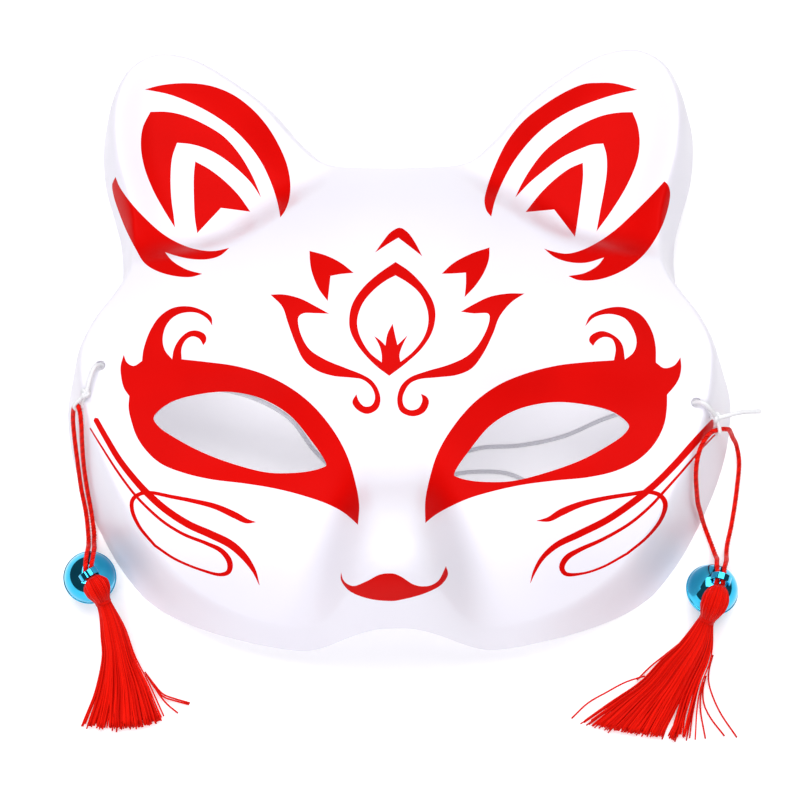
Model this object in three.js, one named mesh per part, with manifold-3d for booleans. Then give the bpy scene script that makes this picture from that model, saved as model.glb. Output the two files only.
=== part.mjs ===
// Half-face kitsune mask lying face up on its rim: a formed white plastic shell with a printed pattern,
// a round elastic, and on each end of the elastic a red cord loop with a jingle bell and a silk tassel.
// Millimetres. X runs to the viewer's right, Y towards the ears, Z out of the face. The rim rests on Z = 0.
// The pieces are drawn round the middle of the face. At the end the whole mask moves along Y, so that the
// origin lies under the middle of the shell's outline.

import * as THREE from 'three';
import { mergeVertices } from 'three/addons/utils/BufferGeometryUtils.js';
import Module from 'manifold-3d';

const wasm = await Module();
wasm.setup();

// Shell sizes
const wall = 1.0;
const flangeSlope = 4.5;
const foldRounding = 6.0;
const earFoldRounding = 11.0;
const rimSink = 2.0;
const earRimLift = 12.0;
const lobeLift = 10.0;
const archLift = 22.0;
const archHalfWidth = 26.0;
const archHalfFlat = 2.0;
const archPower = 0.9;

// Places along Y, and from the middle for the lobes, between which the rim goes from one height to the next
const earLiftRange = [26, 46];
const templeRange = [20, 34];
const lobeRange = [74, 34];
const cheekEndRange = [-44, -56];

// Right half of the rim seen from above, from the middle of the forehead to the middle of the arch
const rimHalf = [
  [0, 66], [16, 68], [24, 74], [33, 85], [43, 93.5], [54, 100.5], [64, 103], [72, 101.5], [79, 96],
  [83, 87], [84, 77], [82.6, 65], [79.4, 54], [77.3, 46], [77.3, 38], [80.8, 29], [87.8, 18],
  [92, 6], [91.2, -7], [87.6, -20], [81.5, -33.5], [74, -46], [64, -56], [51, -63.5], [37, -68.5],
  [23, -70.8], [10, -71.3], [0, -71.3],
];

// Front surface, as lengthwise sections at four distances from the middle: pairs of place along Y and height
const frontSections = [
  { across: 0, line: [[-76, 8], [-67, 22], [-60, 30], [-50, 37], [-36, 40], [-22, 43], [-8, 46], [8, 48],
    [25, 45.5], [45, 39], [60, 31], [80, 22]] },
  { across: 35, line: [[-76, 5], [-67, 18.5], [-60, 26], [-50, 34], [-38, 37], [-25, 35.5], [-13, 37.5],
    [-2, 43], [8, 44.5], [25, 41.5], [45, 34], [60, 25], [80, 16]] },
  { across: 60, line: [[-70, 8], [-60, 18], [-50, 27], [-38, 33], [-25, 34], [-14, 35], [-3, 38.5],
    [8, 40], [25, 38], [45, 30], [60, 22], [80, 14]] },
  { across: 80, line: [[-62, 10], [-50, 20], [-38, 28], [-25, 32.5], [-8, 35], [8, 36], [25, 33],
    [45, 26], [60, 18], [80, 12]] },
];

// Nose and upper lip, added to the front surface: pairs of place along Y and height above it
const muzzleLine = [[-76, 14], [-71, 23], [-67, 31], [-63, 31.5], [-58, 28], [-52, 22], [-44, 14],
  [-36, 6], [-28, 1], [-20, 0]];
const noseHalfWidth = 10;
const lipHalfWidth = 16;
const noseRange = [-30, -62];
const muzzlePower = 3;

// Right ear: its base line crosses the point earBase, and earWay points from there to the tip
const earBase = new THREE.Vector2(38.5, 53);
const earWay = new THREE.Vector2(0.7, 0.714);
const earLength = 58;
const earBaseHeight = 23;
const earTipRise = 6;
const earCrest = 4.5;
const earCrestDistance = 3.5;
const earCupDistance = 17;
const earReachRange = [-12, 5];
const earAlongRange = [30, 46];

// Eye opening round its own middle, with X away from the nose
const eyeOutline = [
  [22.6, 6.2], [18, 9.5], [10, 11.1], [2, 11.1], [-6, 9], [-13, 4.4], [-18.5, -2.6], [-22.4, -8.9],
  [-21.4, -10.4], [-16, -11.2], [-8, -10.7], [0, -8.2], [10, -4], [18, 0.6], [21.8, 3.6],
];
const eyes = [
  { side: -1, middle: new THREE.Vector2(-40.3, -20.1) },
  { side: 1, middle: new THREE.Vector2(37.6, -23.2) },
];

// Cord holes, punched by hand on the fold, the right one lower than the left
const elasticDiameter = 1.2;
const holeClearance = 0.8;
const holeDiameter = elasticDiameter + 2 * holeClearance;
const holes = [
  { side: -1, across: 77.6, along: -0.2 },
  { side: 1, across: 78.2, along: -11.4 },
];

// Bells, loops and tassels
const gap = 0.3;
const loopDiameter = 1.2;
const bellRadius = 6.8;
const bellWall = 0.6;
const seamProud = 0.25;
const seamHeight = 0.9;
const slotWidth = 1.3;
const slotReach = 10.5;
const eyeWire = 1.0;
const eyeHoleRadius = loopDiameter + gap + 0.4;
const knotRadius = 1.3;
const tailDiameter = elasticDiameter;
const headRadius = 3.7;
const headThickness = 2.6;
const neckRadius = 2.1;
const bindingWire = 1.0;

// Mesh steps
const halfSpokes = 38;
const rimOffsets = [0, 1.8, 3.6, 5.4, 7.2, 9, 11.5, 15];
const innerRings = 9;
const rimSteps = 6;
const muzzleDensity = 1.6;
const shellMiddle = new THREE.Vector2(0, 10);

const plastic = new THREE.MeshStandardMaterial({ color: 0xf6f5f8, roughness: 0.45, metalness: 0 });
const elasticWhite = new THREE.MeshStandardMaterial({ color: 0xf2f2f2, roughness: 0.8, metalness: 0 });
const redSilk = new THREE.MeshStandardMaterial({ color: 0xd40d0d, roughness: 0.5, metalness: 0 });
const blueChrome = new THREE.MeshStandardMaterial({ color: 0x28aad7, roughness: 0.12, metalness: 1 });

const group = new THREE.Group();

function addMesh(name, geometry, material) {
  const mesh = new THREE.Mesh(geometry, material);
  mesh.name = name;
  group.add(mesh);
}

// Booleans

function toSolid(geometry) {
  const bare = new THREE.BufferGeometry();
  bare.setAttribute('position', geometry.getAttribute('position').clone());
  if (geometry.index) bare.setIndex(geometry.index.clone());
  const merged = mergeVertices(bare, 1e-4);
  const corners = Array.from(merged.index.array);
  const kept = [];
  for (let i = 0; i < corners.length; i += 3) {
    const [a, b, c] = corners.slice(i, i + 3);
    if (a !== b && b !== c && a !== c) kept.push(a, b, c);
  }
  return new wasm.Manifold(new wasm.Mesh({
    numProp: 3,
    vertProperties: new Float32Array(merged.getAttribute('position').array),
    triVerts: new Uint32Array(kept),
  }));
}

function fromSolid(solid) {
  const mesh = solid.getMesh();
  const geometry = new THREE.BufferGeometry();
  geometry.setAttribute('position', new THREE.BufferAttribute(new Float32Array(mesh.vertProperties), 3));
  geometry.setIndex(Array.from(mesh.triVerts));
  return geometry;
}

// Small mathematics

function ease(from, to, value) {
  const t = Math.min(Math.max((value - from) / (to - from), 0), 1);
  return t * t * (3 - 2 * t);
}

function roundedLower(a, b, width) {
  const h = Math.max(width - Math.abs(a - b), 0) / width;
  return Math.min(a, b) - (h * h * width) / 4;
}

// Smooth curve through points [place, height] with rising places
function throughPoints(line, place) {
  const last = line.length - 1;
  const v = Math.min(Math.max(place, line[0][0]), line[last][0]);
  let i = 0;
  while (i < last - 1 && v > line[i + 1][0]) i += 1;
  const slopeAt = (k) => {
    if (k === 0) return (line[1][1] - line[0][1]) / (line[1][0] - line[0][0]);
    if (k === last) return (line[last][1] - line[last - 1][1]) / (line[last][0] - line[last - 1][0]);
    const before = line[k][0] - line[k - 1][0];
    const after = line[k + 1][0] - line[k][0];
    const slopeBefore = (line[k][1] - line[k - 1][1]) / before;
    const slopeAfter = (line[k + 1][1] - line[k][1]) / after;
    return (slopeBefore * after + slopeAfter * before) / (before + after);
  };
  const h = line[i + 1][0] - line[i][0];
  return hermite(line[i][1], line[i + 1][1], slopeAt(i) * h, slopeAt(i + 1) * h, (v - line[i][0]) / h);
}

function hermite(start, end, startSlope, endSlope, t) {
  const t2 = t * t;
  const t3 = t2 * t;
  return (2 * t3 - 3 * t2 + 1) * start + (t3 - 2 * t2 + t) * startSlope
    + (-2 * t3 + 3 * t2) * end + (t3 - t2) * endSlope;
}

// Closed smooth outline through points, as a list of Vector2
function smoothOutline(points, steps) {
  const outline = [];
  const count = points.length;
  for (let i = 0; i < count; i += 1) {
    const [p0, p1, p2, p3] = [-1, 0, 1, 2].map((k) => points[(i + k + count) % count]);
    for (let k = 0; k < steps; k += 1) {
      const t = k / steps;
      outline.push(new THREE.Vector2(
        hermite(p1[0], p2[0], (p2[0] - p0[0]) / 2, (p3[0] - p1[0]) / 2, t),
        hermite(p1[1], p2[1], (p2[1] - p0[1]) / 2, (p3[1] - p1[1]) / 2, t),
      ));
    }
  }
  return outline;
}

// Shell surface

const rimPoints = rimHalf.concat(rimHalf.slice(1, -1).reverse().map(([x, y]) => [-x, y]));
const rim = smoothOutline(rimPoints, rimSteps);

function rimDistance(x, y) {
  let nearest = Infinity;
  for (let i = 0; i < rim.length; i += 1) {
    const a = rim[i];
    const b = rim[(i + 1) % rim.length];
    const ex = b.x - a.x;
    const ey = b.y - a.y;
    const t = Math.min(Math.max(((x - a.x) * ex + (y - a.y) * ey) / (ex * ex + ey * ey), 0), 1);
    nearest = Math.min(nearest, Math.hypot(x - a.x - t * ex, y - a.y - t * ey));
  }
  return nearest;
}

function frontHeight(x, y) {
  const across = Math.abs(x);
  const heights = frontSections.map((section) => throughPoints(section.line, y));
  const last = frontSections.length - 1;
  const slopeAt = (k) => {
    if (k === 0) return 0;
    const to = Math.min(k + 1, last);
    const from = k - 1;
    return (heights[to] - heights[from]) / (frontSections[to].across - frontSections[from].across);
  };
  const slopes = frontSections.map((section, k) => (
    k === last
      ? (heights[last] - heights[last - 1]) / (frontSections[last].across - frontSections[last - 1].across)
      : slopeAt(k)));
  if (across >= frontSections[last].across) {
    return heights[last] + slopes[last] * (across - frontSections[last].across);
  }
  let i = 0;
  while (across >= frontSections[i + 1].across) i += 1;
  const width = frontSections[i + 1].across - frontSections[i].across;
  const t = (across - frontSections[i].across) / width;
  return hermite(heights[i], heights[i + 1], slopes[i] * width, slopes[i + 1] * width, t);
}

function muzzleHeight(x, y) {
  const halfWidth = noseHalfWidth + (lipHalfWidth - noseHalfWidth) * ease(...noseRange, y);
  return throughPoints(muzzleLine, y) * Math.exp(-(Math.abs(x / halfWidth) ** muzzlePower));
}

function earBlend(x, y, fromRim) {
  const reach = (Math.abs(x) - earBase.x) * earWay.x + (y - earBase.y) * earWay.y;
  const crest = earCrest * (1 - ease(earCrestDistance, earCupDistance, fromRim));
  return {
    height: earBaseHeight + (earTipRise * reach) / earLength + crest,
    share: ease(...earReachRange, reach) * ease(...earAlongRange, y),
  };
}

// Height of the rim's cut edge: under the floor along the cheeks, raised at ears, forehead, lobes and arch
function rimHeight(x, y) {
  const across = Math.abs(x);
  const upper = earRimLift * ease(...earLiftRange, y) - rimSink * (1 - ease(...templeRange, y));
  const arch = archLift * ease(archHalfWidth, archHalfFlat, across) ** archPower;
  const lower = lobeLift * ease(...lobeRange, across) + arch;
  const share = ease(...cheekEndRange, y);
  return upper * (1 - share) + lower * share;
}

function shellHeight(x, y) {
  const fromRim = rimDistance(x, y);
  const ear = earBlend(x, y, fromRim);
  const face = (frontHeight(x, y) + muzzleHeight(x, y)) * (1 - ear.share) + ear.height * ear.share;
  const rounding = foldRounding + (earFoldRounding - foldRounding) * ear.share;
  return roundedLower(face, rimHeight(x, y) + flangeSlope * fromRim, rounding);
}

const slopeStep = 0.05;

function shellNormal(x, y, inward) {
  // close to the rim the slope is taken from just inside it
  const px = x + inward.x * 2 * slopeStep;
  const py = y + inward.y * 2 * slopeStep;
  const slopeX = (shellHeight(px + slopeStep, py) - shellHeight(px - slopeStep, py)) / (2 * slopeStep);
  const slopeY = (shellHeight(px, py + slopeStep) - shellHeight(px, py - slopeStep)) / (2 * slopeStep);
  return new THREE.Vector3(-slopeX, -slopeY, 1).normalize();
}

// Rim points at even steps of length down the right half, closer below the muzzle, then mirrored
function spokeEnds() {
  const half = rim.slice(0, (rimHalf.length - 1) * rimSteps + 1);
  const lengths = [0];
  for (let i = 1; i < half.length; i += 1) {
    const density = 1 + (half[i].y < 0 ? muzzleDensity * ease(2 * lipHalfWidth, lipHalfWidth, half[i].x) : 0);
    lengths.push(lengths[i - 1] + half[i].distanceTo(half[i - 1]) * density);
  }
  const total = lengths[lengths.length - 1];
  const ends = [];
  let k = 0;
  for (let i = 0; i <= halfSpokes; i += 1) {
    const wanted = (total * i) / halfSpokes;
    while (k < half.length - 2 && lengths[k + 1] < wanted) k += 1;
    const t = (wanted - lengths[k]) / (lengths[k + 1] - lengths[k]);
    ends.push(half[k].clone().lerp(half[k + 1], t));
  }
  const mirrored = ends.slice(1, -1).reverse().map((p) => new THREE.Vector2(-p.x, p.y));
  return ends.concat(mirrored);
}

// How far the middle of a straight line between two surface points lies from the surface
function diagonalMiss(p, q) {
  const middle = p.clone().add(q).multiplyScalar(0.5);
  return Math.abs(shellHeight(middle.x, middle.y) - middle.z);
}

// Shell between its outer surface and one a wall's thickness inside it, as a net of spokes and rings
function formedShell() {
  const ends = spokeEnds();
  const spokes = ends.length;
  const rings = rimOffsets.length + innerRings;
  const outer = [];
  const inner = [];
  const addPoint = (x, y, inward) => {
    const z = shellHeight(x, y);
    const normal = shellNormal(x, y, inward);
    outer.push(new THREE.Vector3(x, y, z));
    inner.push(new THREE.Vector3(x, y, z).addScaledVector(normal, -wall));
  };
  for (let ring = 0; ring < rings - 1; ring += 1) {
    for (const end of ends) {
      const spoke = end.clone().sub(shellMiddle);
      const length = spoke.length();
      const inward = spoke.clone().multiplyScalar(-1 / length);
      const lastOffset = rimOffsets[rimOffsets.length - 1];
      const share = ring < rimOffsets.length
        ? 1 - rimOffsets[ring] / length
        : (1 - lastOffset / length) * (1 - (ring - rimOffsets.length + 1) / innerRings);
      addPoint(shellMiddle.x + spoke.x * share, shellMiddle.y + spoke.y * share, inward);
    }
  }
  addPoint(shellMiddle.x, shellMiddle.y, new THREE.Vector2(0, 0));
  const middle = outer.length - 1;
  const innerStart = outer.length;
  const faces = [];
  const at = (ring, spoke) => ring * spokes + (spoke % spokes);
  // ends run clockwise seen from above
  for (let ring = 0; ring < rings - 2; ring += 1) {
    for (let s = 0; s < spokes; s += 1) {
      const [a, b, c, d] = [at(ring, s), at(ring, s + 1), at(ring + 1, s + 1), at(ring + 1, s)];
      if (diagonalMiss(outer[a], outer[c]) < diagonalMiss(outer[b], outer[d])) {
        faces.push([a, c, b], [a, d, c]);
      } else {
        faces.push([a, d, b], [b, d, c]);
      }
    }
  }
  for (let s = 0; s < spokes; s += 1) faces.push([at(rings - 2, s), middle, at(rings - 2, s + 1)]);
  const under = faces.map(([a, b, c]) => [a + innerStart, c + innerStart, b + innerStart]);
  const edge = [];
  for (let s = 0; s < spokes; s += 1) {
    const [a, b] = [at(0, s), at(0, s + 1)];
    edge.push([a, b, b + innerStart], [a, b + innerStart, a + innerStart]);
  }
  const geometry = new THREE.BufferGeometry();
  const positions = outer.concat(inner).flatMap((p) => [p.x, p.y, p.z]);
  geometry.setAttribute('position', new THREE.Float32BufferAttribute(positions, 3));
  geometry.setIndex(faces.concat(under, edge).flat());
  return geometry;
}

function floorCutter() {
  const size = 400;
  const depth = 40;
  return toSolid(new THREE.BoxGeometry(size, size, depth).translate(0, 0, -depth / 2));
}

function eyeCutter(eye) {
  const steps = 2;
  const height = 100;
  const points = eyeOutline.map(([x, y]) => [eye.middle.x + eye.side * x, eye.middle.y + y]);
  const shape = new THREE.Shape(smoothOutline(points, steps));
  return toSolid(new THREE.ExtrudeGeometry(shape, { depth: height, bevelEnabled: false }));
}

function holeMiddle(hole) {
  const x = hole.side * hole.across;
  return new THREE.Vector3(x, hole.along, shellHeight(x, hole.along));
}

function holeCutter(hole) {
  const middle = holeMiddle(hole);
  const normal = shellNormal(middle.x, middle.y, new THREE.Vector2(0, 0));
  const sides = 10;
  const turn = new THREE.Quaternion().setFromUnitVectors(new THREE.Vector3(0, 1, 0), normal);
  const cylinder = new THREE.CylinderGeometry(holeDiameter / 2, holeDiameter / 2, 8 * wall, sides);
  return toSolid(cylinder.applyQuaternion(turn).translate(middle.x, middle.y, middle.z));
}

function maskShell() {
  let solid = toSolid(formedShell()).subtract(floorCutter());
  for (const eye of eyes) solid = solid.subtract(eyeCutter(eye));
  for (const hole of holes) solid = solid.subtract(holeCutter(hole));
  return fromSolid(solid);
}

// Cords

const vector = ([x, y, z]) => new THREE.Vector3(x, y, z);

function cordTube(route, diameter, steps) {
  const curve = new THREE.CatmullRomCurve3(route.map(vector), false, 'centripetal');
  curve.arcLengthDivisions = 600;
  const sides = 8;
  const section = new THREE.Shape();
  for (let i = 0; i < sides; i += 1) {
    const angle = (2 * Math.PI * i) / sides;
    const point = [Math.cos(angle) * diameter / 2, Math.sin(angle) * diameter / 2];
    if (i === 0) section.moveTo(...point);
    else section.lineTo(...point);
  }
  section.closePath();
  return new THREE.ExtrudeGeometry(section, { steps, extrudePath: curve, bevelEnabled: false });
}

// The elastic from the left knot, in at the left hole, loosely over the table behind the mask with one
// loose loop beside the nose, and out at the right hole to the right knot
const leftKnot = [-80.9, -8.3, 36.6];
const rightKnot = [83.5, -14.2, 31.2];
const elasticRoute = [
  [-80.4, -6.6, 37.3], [-79.9, -4.6, 37.7], [-79.2, -2.4, 38.2], [-78.5, -0.9, 37.7], [-77.8, -0.1, 36.2],
  [-76.7, 0.6, 34.2], [-75.6, 1.4, 30], [-75.2, 2, 22], [-75, 2.6, 13], [-74.6, 3.4, 5.6], [-72.4, 5, 1.6],
  [-67, 7, 0.75], [-54, 8.4, 0.7], [-41, 5.6, 0.7], [-30, -1, 0.7], [-22.6, -11, 0.7], [-14, -18.6, 0.7],
  [-2, -21, 0.7], [9, -19, 0.7], [20, -17.1, 0.7], [31, -18, 0.7], [38, -23.4, 0.7], [36, -30, 0.7],
  [27, -32.4, 0.7], [17.6, -28.6, 0.8], [12.6, -22.6, 1.7], [12.2, -18.4, 2.3], [15, -13.4, 1.6],
  [22, -10.2, 0.8], [33.4, -9.4, 0.7], [45, -6.9, 0.7], [57, -1.6, 0.7], [67, 1.4, 0.7], [73, 0, 1.6],
  [75.6, -3.6, 5.4], [76, -7, 13], [76, -9.4, 22], [76.2, -10.7, 29], [77, -11.2, 33], [78.4, -11.5, 35.2],
  [79.6, -12, 36.2], [81, -12.8, 35.6], [82.4, -13.6, 33.6],
];
const rightTailRoute = [[84.6, -14.2, 31.4], [87, -13.6, 31.6], [90.4, -12.7, 31.2], [95.4, -11.8, 29.6]];

// Each red loop is one cord, from the tassel's head through the bell's eye up to the elastic and back
const leftLoopRoute = [
  [-81.4, -51.6, 15.02], [-81.75, -50.6, 15.2], [-82, -48.4, 15], [-82, -45.4, 14.3], [-82.15, -42.3, 11.5],
  [-83.05, -39.9, 5.8], [-83.6, -37.6, 2.2], [-84, -34.6, 1], [-84.9, -28.6, 1.1], [-86, -22.8, 5.2],
  [-86.2, -17.2, 13.5], [-86.4, -13.2, 18.2], [-86.3, -10.4, 22.4], [-85.3, -9.3, 28.4], [-84.1, -9.8, 32.4],
  [-83.2, -10.6, 33.9], [-82.6, -12.4, 34.1], [-82.4, -15.2, 32.2], [-82.9, -18, 26.4], [-83.4, -20.6, 19.8],
  [-83.4, -24.8, 12.3], [-82.8, -30, 5.4], [-82.4, -34.6, 1.2], [-82.1, -37.4, 2.2], [-81.4, -39.9, 6],
  [-80.5, -42.3, 11.5], [-80.25, -45.4, 14.3], [-80.4, -48, 15.1], [-80.45, -49.4, 15.3], [-80.1, -50.4, 15.15],
];
const rightLoopRoute = [
  [83.3, -53.8, 15.5], [83.6, -52.9, 15.5], [83.7, -51.2, 15], [83.8, -48.6, 13.7], [84.2, -46.4, 10.9],
  [84.8, -44.6, 6.6], [85, -42.6, 2.8], [84.3, -39, 1.2], [82.5, -33.4, 1.6], [80.9, -32.3, 8.4],
  [79.4, -31.9, 15.8], [78.5, -30.3, 22.2], [77.9, -28.3, 27.6], [78, -26.2, 30.4], [78.7, -23.6, 31.7],
  [80.4, -20.3, 31.3], [82.4, -17.6, 29.6], [84, -16.6, 28.6], [85.6, -16.2, 28.2], [87.2, -15.4, 26],
  [88.6, -13.4, 19.4], [90.4, -11.4, 10.4], [92.2, -11.2, 3.8], [93, -14.6, 1.3], [91.9, -23.2, 1],
  [90, -32.7, 1], [88.4, -39, 1.2], [87.8, -42.6, 2.9], [87.2, -45, 7.6], [86.4, -47.4, 11.9],
  [85.7, -49.6, 14.2], [85.4, -51.4, 15], [85.15, -53.1, 15.35], [84.85, -54.2, 15.4],
];

function knot(middle, route) {
  const bead = toSolid(new THREE.SphereGeometry(knotRadius, 8, 6).translate(...middle));
  if (!route) return fromSolid(bead);
  const steps = 4;
  return fromSolid(bead.add(toSolid(cordTube(route, tailDiameter, steps))));
}

// Bells: a thin ball with a seam, crossed slots opposite the eye, and a wire eye that the loop runs through
function bell(place) {
  const segments = 12;
  const rows = 8;
  const outer = toSolid(new THREE.SphereGeometry(bellRadius, segments, rows));
  const inner = toSolid(new THREE.SphereGeometry(bellRadius - bellWall, segments, rows));
  const seamInner = bellRadius - bellWall / 2;
  const seamOuter = bellRadius + seamProud;
  const seamLine = [
    [seamInner, -seamHeight / 2], [seamOuter, -seamHeight / 2], [seamOuter, seamHeight / 2],
    [seamInner, seamHeight / 2], [seamInner, -seamHeight / 2],
  ].map(([x, y]) => new THREE.Vector2(x, y));
  const seam = toSolid(new THREE.LatheGeometry(seamLine, segments));
  const ringRadius = eyeHoleRadius + eyeWire / 2;
  const ring = toSolid(new THREE.TorusGeometry(ringRadius, eyeWire / 2, 6, 12)
    .translate(0, bellRadius + ringRadius - eyeWire / 2, 0));
  let solid = outer.subtract(inner).add(seam).add(ring.subtract(inner));
  const slotTop = -Math.sqrt(bellRadius ** 2 - (slotReach / 2) ** 2);
  for (const angle of [0, Math.PI / 2]) {
    const slot = new THREE.BoxGeometry(slotReach, bellRadius, slotWidth);
    slot.translate(0, slotTop - bellRadius / 2, 0);
    solid = solid.subtract(toSolid(slot.rotateY(angle + Math.PI / 4)));
  }
  const up = place.eyeWay.clone().normalize();
  const through = place.loopWay.clone().addScaledVector(up, -place.loopWay.dot(up)).normalize();
  const across = new THREE.Vector3().crossVectors(up, through);
  const turn = new THREE.Matrix4().makeBasis(across, up, through).setPosition(place.middle);
  return fromSolid(solid).applyMatrix4(turn);
}

// Tassels: a rounded head, a neck and a skirt of strands that drops to the table and fans out
function ringLoft(rings) {
  const sides = 12;
  const positions = [];
  for (const ring of rings) {
    for (let i = 0; i < sides; i += 1) {
      const angle = (2 * Math.PI * i) / sides;
      positions.push(ring.middle.clone()
        .addScaledVector(ring.across, ring.halfWidth * Math.cos(angle))
        .addScaledVector(ring.up, ring.halfHeight * Math.sin(angle)));
    }
  }
  const first = positions.push(rings[0].middle) - 1;
  const last = positions.push(rings[rings.length - 1].middle) - 1;
  const faces = [];
  for (let r = 0; r < rings.length - 1; r += 1) {
    for (let i = 0; i < sides; i += 1) {
      const j = (i + 1) % sides;
      const [a, b, c, d] = [r * sides + i, r * sides + j, (r + 1) * sides + j, (r + 1) * sides + i];
      faces.push([a, c, b], [a, d, c]);
    }
  }
  const end = (rings.length - 1) * sides;
  for (let i = 0; i < sides; i += 1) {
    const j = (i + 1) % sides;
    faces.push([first, i, j], [last, end + j, end + i]);
  }
  const geometry = new THREE.BufferGeometry();
  geometry.setAttribute('position',
    new THREE.Float32BufferAttribute(positions.flatMap((p) => [p.x, p.y, p.z]), 3));
  geometry.setIndex(faces.flat());
  return geometry;
}

function squareTo(way, wanted) {
  return wanted.clone().addScaledVector(way, -wanted.dot(way)).normalize();
}

function crossRing(middle, way, across, halfWidth, halfHeight) {
  const up = new THREE.Vector3().crossVectors(across, way).normalize();
  return { middle, across, up, halfWidth, halfHeight };
}

const headRows = [
  { share: 0, width: 0.45, thickness: 0.5 },
  { share: 0.14, width: 0.78, thickness: 0.8 },
  { share: 0.38, width: 1, thickness: 1 },
  { share: 0.66, width: 0.95, thickness: 0.97 },
];
const skirtRows = 7;

function tassel(t) {
  const headCurve = new THREE.QuadraticBezierCurve3(t.headStart, t.headBend, t.neck);
  const skirtCurve = new THREE.QuadraticBezierCurve3(t.neck, t.skirtBend, t.skirtEnd);
  const rings = headRows.map((row) => {
    const way = headCurve.getTangent(row.share);
    return crossRing(headCurve.getPoint(row.share), way, squareTo(way, t.headAcross),
      headRadius * row.width, headThickness * row.thickness);
  });
  const neckAcross = squareTo(skirtCurve.getTangent(0), t.headAcross);
  for (let i = 0; i <= skirtRows; i += 1) {
    const share = i / skirtRows;
    const across = neckAcross.clone().lerp(t.fanAcross, ease(0, 0.6, share)).normalize();
    const halfWidth = neckRadius + (t.fanHalfWidth - neckRadius) * share ** t.fanPower;
    const halfHeight = neckRadius + (t.fanHalfHeight - neckRadius) * ease(0, 1, share);
    rings.push(crossRing(skirtCurve.getPoint(share), skirtCurve.getTangent(share), across,
      halfWidth, halfHeight));
  }
  return ringLoft(rings);
}

// The thread wound round the neck
function binding(t) {
  const skirtCurve = new THREE.QuadraticBezierCurve3(t.neck, t.skirtBend, t.skirtEnd);
  const ringRadius = neckRadius + gap + bindingWire / 2;
  const ring = new THREE.TorusGeometry(ringRadius, bindingWire / 2, 6, 12);
  const turn = new THREE.Quaternion()
    .setFromUnitVectors(new THREE.Vector3(0, 0, 1), skirtCurve.getTangent(0));
  return ring.applyQuaternion(turn).translate(t.neck.x, t.neck.y, t.neck.z);
}

const leftBell = {
  middle: new THREE.Vector3(-82, -48.8, bellRadius),
  eyeWay: new THREE.Vector3(0.12, -0.22, 0.97),
  loopWay: new THREE.Vector3(0.55, -0.83, 0),
};
const rightBell = {
  middle: new THREE.Vector3(83, -53.3, bellRadius),
  eyeWay: new THREE.Vector3(0.16, 0.01, 0.99),
  loopWay: new THREE.Vector3(-0.3, -0.95, 0),
};
const leftTassel = {
  headStart: new THREE.Vector3(-79.9, -52.3, 14.9),
  headBend: new THREE.Vector3(-78.7, -54, 16.5),
  neck: new THREE.Vector3(-77.5, -56.9, 11.3),
  skirtBend: new THREE.Vector3(-72, -69.2, 2.8),
  skirtEnd: new THREE.Vector3(-71.9, -87.4, 1.4),
  headAcross: new THREE.Vector3(0.83, 0.55, 0),
  fanAcross: new THREE.Vector3(1, -0.05, 0),
  fanHalfWidth: 12.4,
  fanHalfHeight: 1.1,
  fanPower: 1.55,
};
const rightTassel = {
  headStart: new THREE.Vector3(83.9, -55.4, 15.4),
  headBend: new THREE.Vector3(82.6, -59.8, 17.2),
  neck: new THREE.Vector3(80.8, -62.6, 11),
  skirtBend: new THREE.Vector3(75, -72.6, 2.6),
  skirtEnd: new THREE.Vector3(62.3, -89.4, 1.4),
  headAcross: new THREE.Vector3(0.95, -0.3, 0),
  fanAcross: new THREE.Vector3(0.985, -0.17, 0),
  fanHalfWidth: 15.9,
  fanHalfHeight: 1.1,
  fanPower: 1.15,
};

const elasticSteps = 58;
const loopSteps = 40;

addMesh('mask_shell', maskShell(), plastic);
addMesh('elastic_cord', cordTube(elasticRoute, elasticDiameter, elasticSteps), elasticWhite);
addMesh('elastic_knot_left', knot(leftKnot), elasticWhite);
addMesh('elastic_knot_right', knot(rightKnot, rightTailRoute), elasticWhite);
addMesh('tassel_loop_left', cordTube(leftLoopRoute, loopDiameter, loopSteps), redSilk);
addMesh('tassel_loop_right', cordTube(rightLoopRoute, loopDiameter, loopSteps), redSilk);
addMesh('bell_left', bell(leftBell), blueChrome);
addMesh('bell_right', bell(rightBell), blueChrome);
addMesh('tassel_left', tassel(leftTassel), redSilk);
addMesh('tassel_right', tassel(rightTassel), redSilk);
addMesh('tassel_binding_left', binding(leftTassel), redSilk);
addMesh('tassel_binding_right', binding(rightTassel), redSilk);

const rimAlong = rim.map((point) => point.y);
group.position.y = -(Math.max(...rimAlong) + Math.min(...rimAlong)) / 2;

export default group;
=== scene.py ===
"""Kitsune mask lying face up: printed shell, braided elastic, twisted cord loops, jingle bells and tassels.

Lengths are in metres. The mask is drawn round the middle of the face, and along_shift moves it along Y into
the frame, as the model does. The printed pattern is drawn in the photograph's pixels, 800 by 800, and laid on
the shell along the camera's rays.
"""

import math

import bpy
import numpy as np
from mathutils import Matrix, Vector, geometry, kdtree


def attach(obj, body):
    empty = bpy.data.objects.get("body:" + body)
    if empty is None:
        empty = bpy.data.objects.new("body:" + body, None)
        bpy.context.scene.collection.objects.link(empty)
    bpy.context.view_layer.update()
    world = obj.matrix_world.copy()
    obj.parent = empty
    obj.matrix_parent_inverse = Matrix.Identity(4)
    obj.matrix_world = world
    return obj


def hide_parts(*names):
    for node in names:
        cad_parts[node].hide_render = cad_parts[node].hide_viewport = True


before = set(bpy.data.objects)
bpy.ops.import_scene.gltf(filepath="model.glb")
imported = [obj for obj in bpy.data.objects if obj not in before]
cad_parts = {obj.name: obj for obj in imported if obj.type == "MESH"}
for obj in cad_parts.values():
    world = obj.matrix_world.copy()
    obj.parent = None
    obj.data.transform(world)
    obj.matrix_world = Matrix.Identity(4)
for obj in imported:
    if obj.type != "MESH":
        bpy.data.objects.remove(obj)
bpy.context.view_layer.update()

MM = 0.001
BODY = "root"

# Shell sizes, as in the model

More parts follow.
